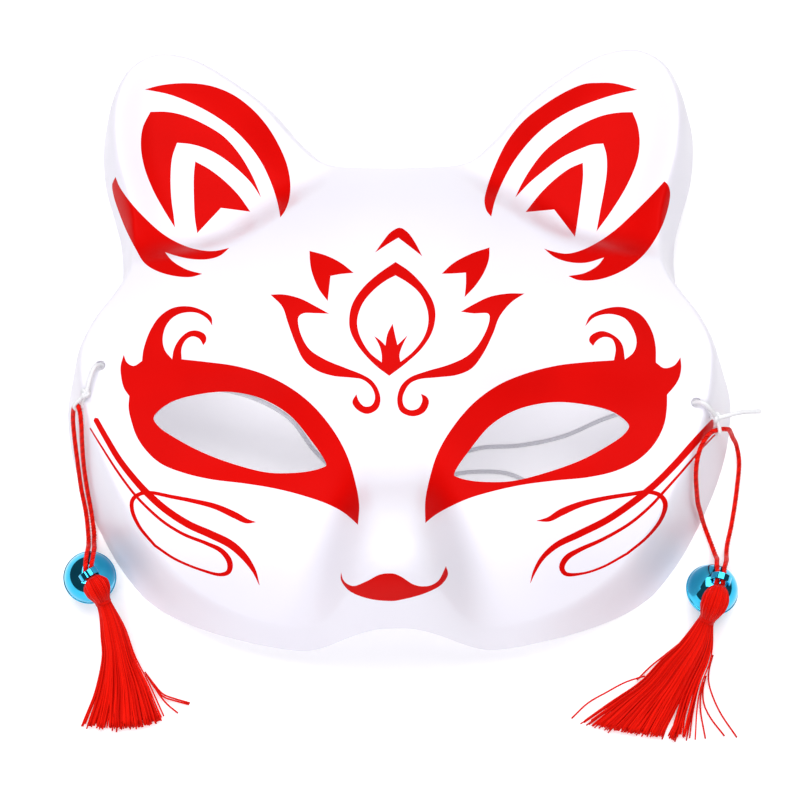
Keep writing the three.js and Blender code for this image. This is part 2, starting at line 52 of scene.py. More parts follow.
wall = 1.0 * MM
flange_slope = 4.5
fold_rounding = 6.0 * MM
ear_fold_rounding = 11.0 * MM
rim_sink = 2.0 * MM
ear_rim_lift = 12.0 * MM
lobe_lift = 10.0 * MM
arch_lift = 22.0 * MM
arch_half_width = 26.0 * MM
arch_half_flat = 2.0 * MM
arch_power = 0.9
ear_lift_range = (26 * MM, 46 * MM)
temple_range = (20 * MM, 34 * MM)
lobe_range = (74 * MM, 34 * MM)
cheek_end_range = (-44 * MM, -56 * MM)
rim_steps = 6

rim_half = [
    (0, 66), (16, 68), (24, 74), (33, 85), (43, 93.5), (54, 100.5), (64, 103), (72, 101.5), (79, 96),
    (83, 87), (84, 77), (82.6, 65), (79.4, 54), (77.3, 46), (77.3, 38), (80.8, 29), (87.8, 18),
    (92, 6), (91.2, -7), (87.6, -20), (81.5, -33.5), (74, -46), (64, -56), (51, -63.5), (37, -68.5),
    (23, -70.8), (10, -71.3), (0, -71.3),
]

# Front surface: lengthwise sections at four distances from the middle, as place along Y and height
front_sections = [
    (0, [(-76, 8), (-67, 22), (-60, 30), (-50, 37), (-36, 40), (-22, 43), (-8, 46), (8, 48),
         (25, 45.5), (45, 39), (60, 31), (80, 22)]),
    (35, [(-76, 5), (-67, 18.5), (-60, 26), (-50, 34), (-38, 37), (-25, 35.5), (-13, 37.5),
          (-2, 43), (8, 44.5), (25, 41.5), (45, 34), (60, 25), (80, 16)]),
    (60, [(-70, 8), (-60, 18), (-50, 27), (-38, 33), (-25, 34), (-14, 35), (-3, 38.5),
          (8, 40), (25, 38), (45, 30), (60, 22), (80, 14)]),
    (80, [(-62, 10), (-50, 20), (-38, 28), (-25, 32.5), (-8, 35), (8, 36), (25, 33),
          (45, 26), (60, 18), (80, 12)]),
]

muzzle_line = [(-76, 14), (-71, 23), (-67, 31), (-63, 31.5), (-58, 28), (-52, 22), (-44, 14),
               (-36, 6), (-28, 1), (-20, 0)]
nose_half_width = 10 * MM
lip_half_width = 16 * MM
nose_range = (-30 * MM, -62 * MM)
muzzle_power = 3

ear_base = np.array([38.5, 53]) * MM
ear_way = np.array([0.7, 0.714])
ear_length = 58 * MM
ear_base_height = 23 * MM
ear_tip_rise = 6 * MM
ear_crest = 4.5 * MM
ear_crest_distance = 3.5 * MM
ear_cup_distance = 17 * MM
ear_reach_range = (-12 * MM, 5 * MM)
ear_along_range = (30 * MM, 46 * MM)

eye_outline = [
    (22.6, 6.2), (18, 9.5), (10, 11.1), (2, 11.1), (-6, 9), (-13, 4.4), (-18.5, -2.6), (-22.4, -8.9),
    (-21.4, -10.4), (-16, -11.2), (-8, -10.7), (0, -8.2), (10, -4), (18, 0.6), (21.8, 3.6),
]
eyes = [(-1, (-40.3, -20.1)), (1, (37.6, -23.2))]

elastic_diameter = 1.2 * MM
hole_diameter = 2.8 * MM
holes = [(-77.6 * MM, -0.2 * MM), (78.2 * MM, -11.4 * MM)]

# Bells, loops and tassels, as in the model

loop_diameter = 1.2 * MM
bell_radius = 6.8 * MM
bell_wall = 0.6 * MM
seam_proud = 0.25 * MM
seam_height = 0.9 * MM
slot_width = 1.3 * MM
slot_reach = 10.5 * MM
eye_hole_radius = 1.9 * MM
eye_wire = 1.0 * MM
head_radius = 3.7 * MM
head_thickness = 2.6 * MM
neck_radius = 2.1 * MM

left_knot = np.array([-80.9, -8.3, 36.6]) * MM
right_knot = np.array([83.5, -14.2, 31.2]) * MM

elastic_route = np.array([
    (-80.4, -6.6, 37.3), (-79.9, -4.6, 37.7), (-79.2, -2.4, 38.2), (-78.5, -0.9, 37.7), (-77.8, -0.1, 36.2),
    (-76.7, 0.6, 34.2), (-75.6, 1.4, 30), (-75.2, 2, 22), (-75, 2.6, 13), (-74.6, 3.4, 5.6),
    (-72.4, 5, 1.6), (-67, 7, 0.75), (-54, 8.4, 0.7), (-41, 5.6, 0.7), (-30, -1, 0.7), (-22.6, -11, 0.7),
    (-14, -18.6, 0.7), (-2, -21, 0.7), (9, -19, 0.7), (20, -17.1, 0.7), (31, -18, 0.7), (38, -23.4, 0.7),
    (36, -30, 0.7), (27, -32.4, 0.7), (17.6, -28.6, 0.8), (12.6, -22.6, 1.7), (12.2, -18.4, 2.3),
    (15, -13.4, 1.6), (22, -10.2, 0.8), (33.4, -9.4, 0.7), (45, -6.9, 0.7), (57, -1.6, 0.7), (67, 1.4, 0.7),
    (73, 0, 1.6), (75.6, -3.6, 5.4), (76, -7, 13), (76, -9.4, 22), (76.2, -10.7, 29), (77, -11.2, 33),
    (78.4, -11.5, 35.2), (79.6, -12, 36.2), (81, -12.8, 35.6), (82.4, -13.6, 33.6),
]) * MM
right_tail_route = np.array([
    (84.6, -14.2, 31.4), (87, -13.6, 31.6), (90.4, -12.7, 31.2), (95.4, -11.8, 29.6),
]) * MM
left_loop_route = np.array([
    (-81.4, -51.6, 15.02), (-81.75, -50.6, 15.2), (-82, -48.4, 15), (-82, -45.4, 14.3),
    (-82.15, -42.3, 11.5), (-83.05, -39.9, 5.8), (-83.6, -37.6, 2.2), (-84, -34.6, 1), (-84.9, -28.6, 1.1),
    (-86, -22.8, 5.2), (-86.2, -17.2, 13.5), (-86.4, -13.2, 18.2), (-86.3, -10.4, 22.4),
    (-85.3, -9.3, 28.4), (-84.1, -9.8, 32.4), (-83.2, -10.6, 33.9), (-82.6, -12.4, 34.1),
    (-82.4, -15.2, 32.2), (-82.9, -18, 26.4), (-83.4, -20.6, 19.8), (-83.4, -24.8, 12.3), (-82.8, -30, 5.4),
    (-82.4, -34.6, 1.2), (-82.1, -37.4, 2.2), (-81.4, -39.9, 6), (-80.5, -42.3, 11.5),
    (-80.25, -45.4, 14.3), (-80.4, -48, 15.1), (-80.45, -49.4, 15.3), (-80.1, -50.4, 15.15),
]) * MM
right_loop_route = np.array([
    (83.3, -53.8, 15.5), (83.6, -52.9, 15.5), (83.7, -51.2, 15), (83.8, -48.6, 13.7), (84.2, -46.4, 10.9),
    (84.8, -44.6, 6.6), (85, -42.6, 2.8), (84.3, -39, 1.2), (82.5, -33.4, 1.6), (80.9, -32.3, 8.4),
    (79.4, -31.9, 15.8), (78.5, -30.3, 22.2), (77.9, -28.3, 27.6), (78, -26.2, 30.4), (78.7, -23.6, 31.7),
    (80.4, -20.3, 31.3), (82.4, -17.6, 29.6), (84, -16.6, 28.6), (85.6, -16.2, 28.2), (87.2, -15.4, 26),
    (88.6, -13.4, 19.4), (90.4, -11.4, 10.4), (92.2, -11.2, 3.8), (93, -14.6, 1.3), (91.9, -23.2, 1),
    (90, -32.7, 1), (88.4, -39, 1.2), (87.8, -42.6, 2.9), (87.2, -45, 7.6), (86.4, -47.4, 11.9),
    (85.7, -49.6, 14.2), (85.4, -51.4, 15), (85.15, -53.1, 15.35), (84.85, -54.2, 15.4),
]) * MM

left_bell = {
    "middle": (-0.082, -0.0488, bell_radius), "eye_way": (0.12, -0.22, 0.97), "loop_way": (0.55, -0.83, 0),
}
right_bell = {
    "middle": (0.083, -0.0533, bell_radius), "eye_way": (0.16, 0.01, 0.99), "loop_way": (-0.3, -0.95, 0),
}

# Each tassel: places in metres, and the two sides of its skirt as they lie in the photograph's pixels. A gap
# is its place across the skirt, the share of the length where it opens, and half its width.
left_tassel = {
    "head_start": (-0.0799, -0.0523, 0.0149), "head_bend": (-0.0787, -0.054, 0.0165),
    "neck": (-0.0775, -0.0569, 0.0113), "skirt_bend": (-0.072, -0.0692, 0.0028),
    "skirt_end": (-0.0719, -0.0874, 0.0014), "head_across": (0.83, 0.55, 0), "fan_across": (1, -0.05, 0),
    "fan_half_width": 12.4 * MM, "fan_half_height": 1.1 * MM, "fan_power": 1.55,
    "left_side": [(96, 601), (98.6, 619), (99.6, 638), (100.6, 656), (92.5, 690), (77.5, 724)],
    "right_side": [(110.6, 597), (117, 610), (126.3, 628), (136.7, 656), (152.4, 684), (168.5, 718)],
    "gaps": [(0.2, 0.8, 0.012), (0.33, 0.78, 0.02), (0.47, 0.72, 0.012), (0.6, 0.9, 0.01)],
    "bulge": 5.0,
}
right_tassel = {
    "head_start": (0.0839, -0.0554, 0.0154), "head_bend": (0.0826, -0.0598, 0.0172),
    "neck": (0.0808, -0.0626, 0.011), "skirt_bend": (0.075, -0.0726, 0.0026),
    "skirt_end": (0.0623, -0.0894, 0.0014), "head_across": (0.95, -0.3, 0), "fan_across": (0.985, -0.17, 0),
    "fan_half_width": 15.9 * MM, "fan_half_height": 1.1 * MM, "fan_power": 1.15,
    "left_side": [(702.5, 619), (694.5, 631), (678.7, 643.5), (660, 658), (637.5, 681), (608, 700),
                  (577, 720)],
    "right_side": [(717.5, 620.5), (715.5, 634), (714, 650), (711.5, 664), (705.6, 680), (701.5, 698),
                   (697, 738)],
    "gaps": [(0.75, 0.6, 0.04), (0.85, 0.8, 0.018), (0.93, 0.55, 0.03), (0.88, 0.42, 0.014)],
    "bulge": 3.5,
}

# Small mathematics

span_samples = 24


def ease(start, end, value):
    t = np.clip((value - start) / (end - start), 0, 1)
    return t * t * (3 - 2 * t)


def rounded_lower(a, b, width):
    h = np.maximum(width - np.abs(a - b), 0) / width
    return np.minimum(a, b) - h * h * width / 4


def hermite(start, end, start_slope, end_slope, t):
    t2 = t * t
    t3 = t2 * t
    return ((2 * t3 - 3 * t2 + 1) * start + (t3 - 2 * t2 + t) * start_slope
            + (-2 * t3 + 3 * t2) * end + (t3 - t2) * end_slope)


def through_points(line, place):
    """Smooth curve through points (place, height) with rising places."""
    at, height = np.array(line, float).T * MM
    v = np.clip(place, at[0], at[-1])
    i = np.clip(np.searchsorted(at, v, side="left") - 1, 0, len(at) - 2)
    run = np.diff(at)
    slope = np.diff(height) / run
    inner = (slope[:-1] * run[1:] + slope[1:] * run[:-1]) / (run[:-1] + run[1:])
    slopes = np.concatenate([slope[:1], inner, slope[-1:]])
    h = run[i]
    return hermite(height[i], height[i + 1], slopes[i] * h, slopes[i + 1] * h, (v - at[i]) / h)


def smooth_outline(points, steps):
    """Closed smooth outline through points."""
    p = np.array(points, float)
    before, after, later = np.roll(p, 1, 0), np.roll(p, -1, 0), np.roll(p, -2, 0)
    rows = [hermite(p, after, (after - before) / 2, (later - p) / 2, k / steps) for k in range(steps)]
    return np.stack(rows, 1).reshape(-1, p.shape[1])


def smooth_line(points, spacing):
    """Open smooth line through points, at about even steps."""
    p = np.array(points, float)
    p = np.concatenate([2 * p[:1] - p[1:2], p, 2 * p[-1:] - p[-2:-1]])
    knot = np.concatenate([[0], np.cumsum(np.sqrt(np.linalg.norm(np.diff(p, axis=0), axis=1)))])
    fine = []
    for i in range(1, len(p) - 2):
        p0, p1, p2, p3 = p[i - 1:i + 3]
        t0, t1, t2, t3 = knot[i - 1:i + 3]
        t = np.linspace(t1, t2, span_samples, endpoint=False)[:, None]
        a1 = (t1 - t) / (t1 - t0) * p0 + (t - t0) / (t1 - t0) * p1
        a2 = (t2 - t) / (t2 - t1) * p1 + (t - t1) / (t2 - t1) * p2
        a3 = (t3 - t) / (t3 - t2) * p2 + (t - t2) / (t3 - t2) * p3
        b1 = (t2 - t) / (t2 - t0) * a1 + (t - t0) / (t2 - t0) * a2
        b2 = (t3 - t) / (t3 - t1) * a2 + (t - t1) / (t3 - t1) * a3
        fine.append((t2 - t) / (t2 - t1) * b1 + (t - t1) / (t2 - t1) * b2)
    fine = np.concatenate(fine + [p[-2:-1]])
    length = np.concatenate([[0], np.cumsum(np.linalg.norm(np.diff(fine, axis=0), axis=1))])
    count = max(int(round(length[-1] / spacing)), 2)
    wanted = np.linspace(0, length[-1], count + 1)
    return np.stack([np.interp(wanted, length, fine[:, k]) for k in range(fine.shape[1])], 1)


def line_length(points):
    return float(np.linalg.norm(np.diff(np.array(points), axis=0), axis=1).sum())


def unit(vector):
    v = np.array(vector, float)
    return v / np.linalg.norm(v, axis=-1, keepdims=True)


def inside(points, outline):
    """Which points lie inside a closed outline."""
    x, y = points[:, 0], points[:, 1]
    found = np.zeros(len(points), bool)
    for a, b in zip(outline, np.roll(outline, -1, 0)):
        crosses = (a[1] > y) != (b[1] > y)
        if a[1] != b[1]:
            found ^= crosses & (x < (b[0] - a[0]) * (y - a[1]) / (b[1] - a[1]) + a[0])
    return found


# Shell surface

rim = smooth_outline(rim_half + [(-x, y) for x, y in rim_half[-2:0:-1]], rim_steps) * MM
along_shift = -(rim[:, 1].max() + rim[:, 1].min()) / 2
rim_chunk = 4000
slope_step = 0.05 * MM


def to_frame(points):
    return np.array(points, float) + (0, along_shift, 0)


def rim_distance(x, y):
    """Distance from the rim seen from above, worked out for some places at a time."""
    way = np.roll(rim, -1, 0) - rim
    squared = (way ** 2).sum(1)
    nearest = np.empty(len(x))
    for first in range(0, len(x), rim_chunk):
        part = slice(first, first + rim_chunk)
        dx = x[part, None] - rim[:, 0]
        dy = y[part, None] - rim[:, 1]
        t = np.clip((dx * way[:, 0] + dy * way[:, 1]) / squared, 0, 1)
        nearest[part] = np.hypot(dx - t * way[:, 0], dy - t * way[:, 1]).min(1)
    return nearest


def front_height(x, y):
    """Brow, eye sockets and cheeks, between the lengthwise sections."""
    across = np.abs(x)
    at = np.array([section[0] for section in front_sections]) * MM
    heights = np.stack([through_points(line, y) for _, line in front_sections])
    slopes = np.zeros_like(heights)
    slopes[1:-1] = (heights[2:] - heights[:-2]) / (at[2:] - at[:-2])[:, None]
    slopes[-1] = (heights[-1] - heights[-2]) / (at[-1] - at[-2])
    i = np.clip(np.searchsorted(at, across, side="right") - 1, 0, len(at) - 2)
    width = at[i + 1] - at[i]
    k = np.arange(len(x))
    between = hermite(heights[i, k], heights[i + 1, k], slopes[i, k] * width, slopes[i + 1, k] * width,
                      (across - at[i]) / width)
    return np.where(across >= at[-1], heights[-1] + slopes[-1] * (across - at[-1]), between)


def muzzle_height(x, y):
    """The nose and the lip, on top of the front."""
    half_width = nose_half_width + (lip_half_width - nose_half_width) * ease(*nose_range, y)
    return through_points(muzzle_line, y) * np.exp(-np.abs(x / half_width) ** muzzle_power)


def rim_height(x, y):
    """Height of the cut edge near a place: up under the ears, over the mouth and at the lobes beside it."""
    across = np.abs(x)
    upper = ear_rim_lift * ease(*ear_lift_range, y) - rim_sink * (1 - ease(*temple_range, y))
    arch = arch_lift * ease(arch_half_width, arch_half_flat, across) ** arch_power
    lower = lobe_lift * ease(*lobe_range, across) + arch
    share = ease(*cheek_end_range, y)
    return upper * (1 - share) + lower * share


def shell_layers(x, y):
    """Height of the face, height of the steep side under it, and how widely their fold is rounded."""
    from_rim = rim_distance(x, y)
    reach = (np.abs(x) - ear_base[0]) * ear_way[0] + (y - ear_base[1]) * ear_way[1]
    crest = ear_crest * (1 - ease(ear_crest_distance, ear_cup_distance, from_rim))
    ear = ear_base_height + ear_tip_rise * reach / ear_length + crest
    share = ease(*ear_reach_range, reach) * ease(*ear_along_range, y)
    face = (front_height(x, y) + muzzle_height(x, y)) * (1 - share) + ear * share
    rounding = fold_rounding + (ear_fold_rounding - fold_rounding) * share
    return face, rim_height(x, y) + flange_slope * from_rim, rounding


def shell_height(x, y):
    return rounded_lower(*shell_layers(x, y))


def shell_normals(x, y, inward):
    """Upward normals. Close to the rim the slope is taken from just inside it."""
    px = x + inward[:, 0] * 2 * slope_step
    py = y + inward[:, 1] * 2 * slope_step
    slope_x = (shell_height(px + slope_step, py) - shell_height(px - slope_step, py)) / (2 * slope_step)
    slope_y = (shell_height(px, py + slope_step) - shell_height(px, py - slope_step)) / (2 * slope_step)
    return unit(np.stack([-slope_x, -slope_y, np.ones(len(x))], 1))


# Camera

photo_width = 800
view_elevation = math.radians(67)
view_side = math.radians(1)
view_distance = 600 * MM
view_target = np.array([1.0, -8.0, 30.0]) * MM
pixels_per_mm = 3.80
focal_pixels = pixels_per_mm * view_distance / MM
sensor_mm = 36.0
near_clip = 0.05
far_clip = 20.0

view_back = unit((
    math.sin(view_side),
    -math.cos(view_elevation) * math.cos(view_side),
    math.sin(view_elevation) * math.cos(view_side),
))
view_right = unit(np.cross(-view_back, (0, 1, 0)))
view_up = np.cross(view_right, -view_back)
view_eye = view_target + view_back * view_distance

camera = bpy.data.objects.new("camera", bpy.data.cameras.new("camera"))
camera.data.sensor_width = sensor_mm
camera.data.lens = sensor_mm * focal_pixels / photo_width
camera.data.clip_start = near_clip
camera.data.clip_end = far_clip
camera.matrix_world = Matrix.Translation(to_frame(view_eye)) @ Matrix(
    np.stack([view_right, view_up, view_back], 1)).to_4x4()
bpy.context.scene.collection.objects.link(camera)
bpy.context.scene.camera = camera


def rays(pixels):
    """Ways from the camera's eye through pixels."""
    p = np.array(pixels, float)
    a = (p[:, 0] - photo_width / 2) / focal_pixels
    b = (photo_width / 2 - p[:, 1]) / focal_pixels
    return -view_back + a[:, None] * view_right + b[:, None] * view_up


def on_level(pixels, height):
    """Where pixels fall on a level plane."""
    way = rays(pixels)
    t = (height - view_eye[2]) / way[:, 2]
    return view_eye + way * t[:, None]


# The mask's height on a net, for following rays quickly. Places beside the mask get a height far below it.
beside_mask = -1.0
net_step = 1.0 * MM
net_half = 108 * MM
net_line = np.arange(-net_half, net_half + net_step / 2, net_step)
net_x, net_y = [v.ravel() for v in np.meshgrid(net_line, net_line, indexing="ij")]
net_inside = inside(np.stack([net_x, net_y], 1), rim)
net_heights = np.where(net_inside, shell_height(net_x, net_y), beside_mask).reshape(len(net_line), -1)
net_last = len(net_line) - 1.001
highest_level = 66 * MM
level_count = 265
halvings = 12


def net_height(x, y):
    u = np.clip((x + net_half) / net_step, 0, net_last)
    v = np.clip((y + net_half) / net_step, 0, net_last)
    i, j = u.astype(int), v.astype(int)
    u, v = u - i, v - j
    corners = [net_heights[i, j], net_heights[i + 1, j], net_heights[i, j + 1], net_heights[i + 1, j + 1]]
    level = (corners[0] * (1 - u) * (1 - v) + corners[1] * u * (1 - v)
             + corners[2] * (1 - u) * v + corners[3] * u * v)
    return np.where(np.min(corners, 0) < beside_mask / 2, beside_mask, level)


def on_mask(pixels):
    """Where pixels fall on the shell, as places along X and Y."""
    way = rays(pixels)
    way = way / -way[:, 2:]
    levels = np.linspace(highest_level, 0, level_count)
    drop = (view_eye[2] - levels)[:, None]
    x = view_eye[0] + way[:, 0] * drop
    y = view_eye[1] + way[:, 1] * drop
    below = net_height(x.ravel(), y.ravel()).reshape(x.shape) > levels[:, None]
    first = np.argmax(below, 0)
    high, low = levels[np.maximum(first - 1, 0)], levels[first]
    for _ in range(halvings):
        level = (high + low) / 2
        depth = view_eye[2] - level
        under = shell_height(view_eye[0] + way[:, 0] * depth, view_eye[1] + way[:, 1] * depth) > level
        low, high = np.where(under, level, low), np.where(under, high, level)
    depth = view_eye[2] - (high + low) / 2
    return np.stack([view_eye[0] + way[:, 0] * depth, view_eye[1] + way[:, 1] * depth], 1)


# Materials

# Most of a noise's values lie between these
noise_low = 0.3
noise_high = 0.7


class Shader:
    """A Principled material built from a few linked nodes."""

    def __init__(self, name, **values):
        self.material = bpy.data.materials.new(name)
        self.material.use_nodes = True
        self.tree = self.material.node_tree
        self.principled = self.tree.nodes["Principled BSDF"]
        self.place = self.tree.nodes.new("ShaderNodeTexCoord").outputs["Object"]
        for key, value in values.items():
            self.principled.inputs[key.replace("_", " ")].default_value = value

    def node(self, kind, links=(), **settings):
        made = self.tree.nodes.new(kind)
        for key, value in settings.items():
            setattr(made, key, value)
        for socket, value in dict(links).items():
            if isinstance(value, bpy.types.NodeSocket):
                self.tree.links.new(value, made.inputs[socket])
            else:
                made.inputs[socket].default_value = value
        return made

    def noise(self, size, detail=2.0, stretch=(1, 1, 1)):
        """Noise with features of about the given size."""
        placed = self.node("ShaderNodeMapping", {"Vector": self.place, "Scale": stretch})
        texture = self.node("ShaderNodeTexNoise", {
            "Vector": placed.outputs["Vector"], "Scale": 1 / size, "Detail": detail})
        return texture.outputs["Fac"]

    def ramp(self, factor, low, high, start=noise_low, end=noise_high):
        """Colour from low to high as the factor goes from start to end."""
        ramp = self.node("ShaderNodeValToRGB", {"Fac": factor})
        ramp.color_ramp.elements[0].position = start
        ramp.color_ramp.elements[0].color = (*low, 1)
        ramp.color_ramp.elements[1].position = end
        ramp.color_ramp.elements[1].color = (*high, 1)
        return ramp.outputs["Color"]

    def spread(self, factor, low, high):
        """A number from low to high as a noise goes from its low to its high values."""
        mapped = self.node("ShaderNodeMapRange", {
            "Value": factor, "From Min": noise_low, "From Max": noise_high, "To Min": low, "To Max": high})
        return mapped.outputs["Result"]

    def bump(self, height, distance, strength=1.0, normal=None):
        links = {"Height": height, "Distance": distance, "Strength": strength}
        if normal is not None:
            links["Normal"] = normal
        return self.node("ShaderNodeBump", links).outputs["Normal"]

    def set(self, **sockets):
        """Link values to the surface's sockets and give the finished material."""
        for key, value in sockets.items():
            self.tree.links.new(value, self.principled.inputs[key.replace("_", " ")])
        return self.material


def white_plastic(name):
    shader = Shader(name, Specular_IOR_Level=0.4)
    broad = shader.noise(34 * MM, detail=1.0)
    fine = shader.noise(0.9 * MM, detail=2.0)
    wavy = shader.noise(11 * MM, detail=1.0)
    return shader.set(
        Base_Color=shader.ramp(broad, (0.845, 0.82, 0.895), (0.865, 0.845, 0.91)),
        Roughness=shader.spread(wavy, 0.36, 0.44),
        Normal=shader.bump(fine, 0.012 * MM, normal=shader.bump(wavy, 0.12 * MM, 0.5)),
    )


def red_ink():
    shader = Shader("red_ink", Specular_IOR_Level=0.03)
    broad = shader.noise(26 * MM, detail=2.0)
    fine = shader.noise(0.5 * MM, detail=2.0)
    return shader.set(
        Base_Color=shader.ramp(broad, (0.60, 0.0015, 0.0008), (0.67, 0.0022, 0.0012)),
        Roughness=shader.spread(fine, 0.46, 0.54),
        Normal=shader.bump(fine, 0.008 * MM),
    )


def white_elastic():
    shader = Shader("white_elastic", Specular_IOR_Level=0.3, Sheen_Weight=0.25, Sheen_Roughness=0.4)
    fine = shader.noise(0.25 * MM, detail=2.0)
    return shader.set(
        Base_Color=shader.ramp(fine, (0.72, 0.72, 0.74), (0.88, 0.88, 0.89)),
        Roughness=shader.spread(fine, 0.6, 0.8),
        Normal=shader.bump(fine, 0.05 * MM),
    )


def red_silk(name, roughness):
    """Silk whose strands differ a little in colour."""
    shader = Shader(name, Specular_IOR_Level=0.35, Specular_Tint=(1, 0.12, 0.08, 1))
    strand = shader.node("ShaderNodeAttribute", attribute_name="strand").outputs["Fac"]
    fibre = shader.noise(0.18 * MM, detail=2.0)
    return shader.set(
        Base_Color=shader.ramp(strand, (0.46, 0.0008, 0.0008), (0.95, 0.012, 0.004), 0.0, 1.0),
        Roughness=shader.spread(fibre, roughness - 0.06, roughness + 0.06),
        Normal=shader.bump(fibre, 0.03 * MM),
    )


def blue_chrome():
    shader = Shader("blue_chrome", Metallic=1.0)
    broad = shader.noise(4 * MM, detail=1.0)
    fine = shader.noise(0.7 * MM, detail=3.0)
    return shader.set(
        Base_Color=shader.ramp(broad, (0.03, 0.42, 0.66), (0.05, 0.50, 0.74)),
        Roughness=shader.spread(fine, 0.04, 0.09),
        Normal=shader.bump(broad, 0.05 * MM, 0.4),
    )


plastic = white_plastic("white_plastic")
plastic_inside = white_plastic("white_plastic_inside")
ink = red_ink()
elastic_white = white_elastic()
cord_silk = red_silk("cord_silk", 0.45)
tassel_silk = red_silk("tassel_silk", 0.36)
chrome = blue_chrome()

# Meshes

nearly_upright = 0.9


def add_piece(name, points, faces, materials, replaced, face_materials=None, strands=None):
    """A mesh piece from points in the drawing's place, in place of the model's piece of the given name."""
    mesh = bpy.data.meshes.new(name)
    mesh.from_pydata(to_frame(points).tolist(), [], [tuple(int(i) for i in f) for f in faces])
    for material in materials:
        mesh.materials.append(material)
    if face_materials is not None:
        mesh.polygons.foreach_set("material_index", np.array(face_materials, np.int32))
    mesh.polygons.foreach_set("use_smooth", np.full(len(mesh.polygons), True))
    if strands is not None:
        attribute = mesh.attributes.new("strand", "FLOAT", "POINT")
        attribute.data.foreach_set("value", np.array(strands, np.float32))
    mesh.validate()
    mesh.update()
    piece = bpy.data.objects.new(name, mesh)
    bpy.context.scene.collection.objects.link(piece)
    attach(piece, BODY)
    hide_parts(replaced)
    return piece


def frames_along(line):
    """Ways along a line and two directions square to them that don't twist."""
    way = unit(np.gradient(line, axis=0))
    side = np.zeros_like(way)
    start = (0, 0, 1) if abs(way[0][2]) < nearly_upright else (0, 1, 0)
    side[0] = unit(np.cross(way[0], start))
    for i in range(1, len(way)):
        side[i] = unit(side[i - 1] - way[i] * (side[i - 1] @ way[i]))
    return way, side, np.cross(way, side)


def ring_faces(rings, sides, closed=False):
    """Faces between rings of points that follow each other, and from the last ring to the first if closed."""
    count = rings if closed else rings - 1
    i, j = [v.ravel() for v in np.meshgrid(np.arange(count), np.arange(sides), indexing="ij")]
    k = (j + 1) % sides
    after = (i + 1) % rings
    return np.stack([i * sides + j, i * sides + k, after * sides + k, after * sides + j], 1).tolist()


def tube(line, radius, sides, relief=None):
    """Points and faces of a tube. relief gives a factor on the radius for each ring and side."""
    line = np.array(line, float)
    _, side, up = frames_along(line)
    angle = 2 * np.pi * np.arange(sides) / sides
    size = np.broadcast_to(np.array(radius, float).reshape(-1, 1), (len(line), sides))
    if relief is not None:
        size = size * relief
    ring = side[:, None] * np.cos(angle)[:, None] + up[:, None] * np.sin(angle)[:, None]
    points = (line[:, None] + ring * size[..., None]).reshape(-1, 3)
    faces = ring_faces(len(line), sides)
    faces.append(list(range(sides))[::-1])
    faces.append([(len(line) - 1) * sides + j for j in range(sides)])
    return points, faces


def joined(parts):
    """Several (points, faces) as one, with the number of the part of each point."""
    points, faces, part_of, start = [], [], [], 0
    for number, (p, f) in enumerate(parts):
        points.append(p)
        faces.extend([[i + start for i in face] for face in f])
        part_of.append(np.full(len(p), number))
        start += len(p)
    return np.concatenate(points), faces, np.concatenate(part_of)


# Cords

braid_step = 0.3 * MM
braid_pitch = 2.2 * MM
braid_relief = 0.055
braid_sides = 12
ply_count = 3
ply_step = 0.28 * MM
ply_pitch = 2.6 * MM
ply_offset = 0.31 * MM
ply_radius = 0.36 * MM
ply_sides = 7
ply_shades = np.array([0.25, 0.5, 0.75])
knot_size = 1.1 * MM
knot_thickness = 1.0 * MM
knot_height = 1.6
knot_steps = 60
knot_sides = 8
bight_radius = 0.42 * elastic_diameter
bight_reach = loop_diameter / 2 + bight_radius
bight_angles = np.radians([55, 100, 140, 180, 220, 260, 305])
bight_sides = 10
head_turn_side = 0.8 * MM
head_turn_depth = 1.5 * MM
path_stride = 3
elastic_path_step = 1.0 * MM


def distances_along(line):
    """Distance from the start at each point of an evenly stepped line."""
    return np.arange(len(line)) * line_length(line) / (len(line) - 1)


def braided_tube(line, radius, sides=braid_sides):
    """A round braid: two families of bands that wind against each other."""
    line = smooth_line(line, braid_step)
    angle = 2 * np.pi * np.arange(sides) / sides
    turn = 2 * np.pi * distances_along(line)[:, None] / braid_pitch
    relief = 1 + braid_relief * np.sin(2 * (angle + turn)) * np.sin(2 * (angle - turn))
    return tube(line, radius, sides, relief=relief)


def twisted_cord(line):
    """Plies wound round a line."""
    line = smooth_line(line, ply_step)
    _, side, up = frames_along(line)
    plies = []
    for k in range(ply_count):
        turn = 2 * np.pi * (distances_along(line) / ply_pitch + k / ply_count)
        centre = line + ply_offset * (side * np.cos(turn)[:, None] + up * np.sin(turn)[:, None])
        plies.append(tube(centre, ply_radius, ply_sides))
    return line, joined(plies)


def overhand_knot(middle, lean):
    """The crossing turns of an overhand knot, as a short tube."""
    t = np.linspace(0, 2 * np.pi, knot_steps)
    trefoil = [np.sin(t) + 2 * np.sin(2 * t), np.cos(t) - 2 * np.cos(2 * t), -knot_height * np.sin(3 * t)]
    turn = np.array(Vector((0, 0, 1)).rotation_difference(Vector(lean)).to_matrix())
    line = middle + (np.stack(trefoil, 1) / 3 * knot_size) @ turn.T
    return tube(line, knot_thickness / 2, knot_sides)


def bight(knot_middle, apex, apex_way):
    """The elastic's turn round a cord loop, out of the knot and back into it."""
    towards = knot_middle - apex
    way = unit(apex_way)
    first = unit(towards - way * (towards @ way))
    second = np.cross(way, first)
    around = [apex + bight_reach * (math.cos(a) * first + math.sin(a) * second) for a in bight_angles]
    return braided_tube([knot_middle, *around, knot_middle], bight_radius, bight_sides)


def nearest_point(route, place):
    return int(np.argmin(np.linalg.norm(route - place, axis=1)))


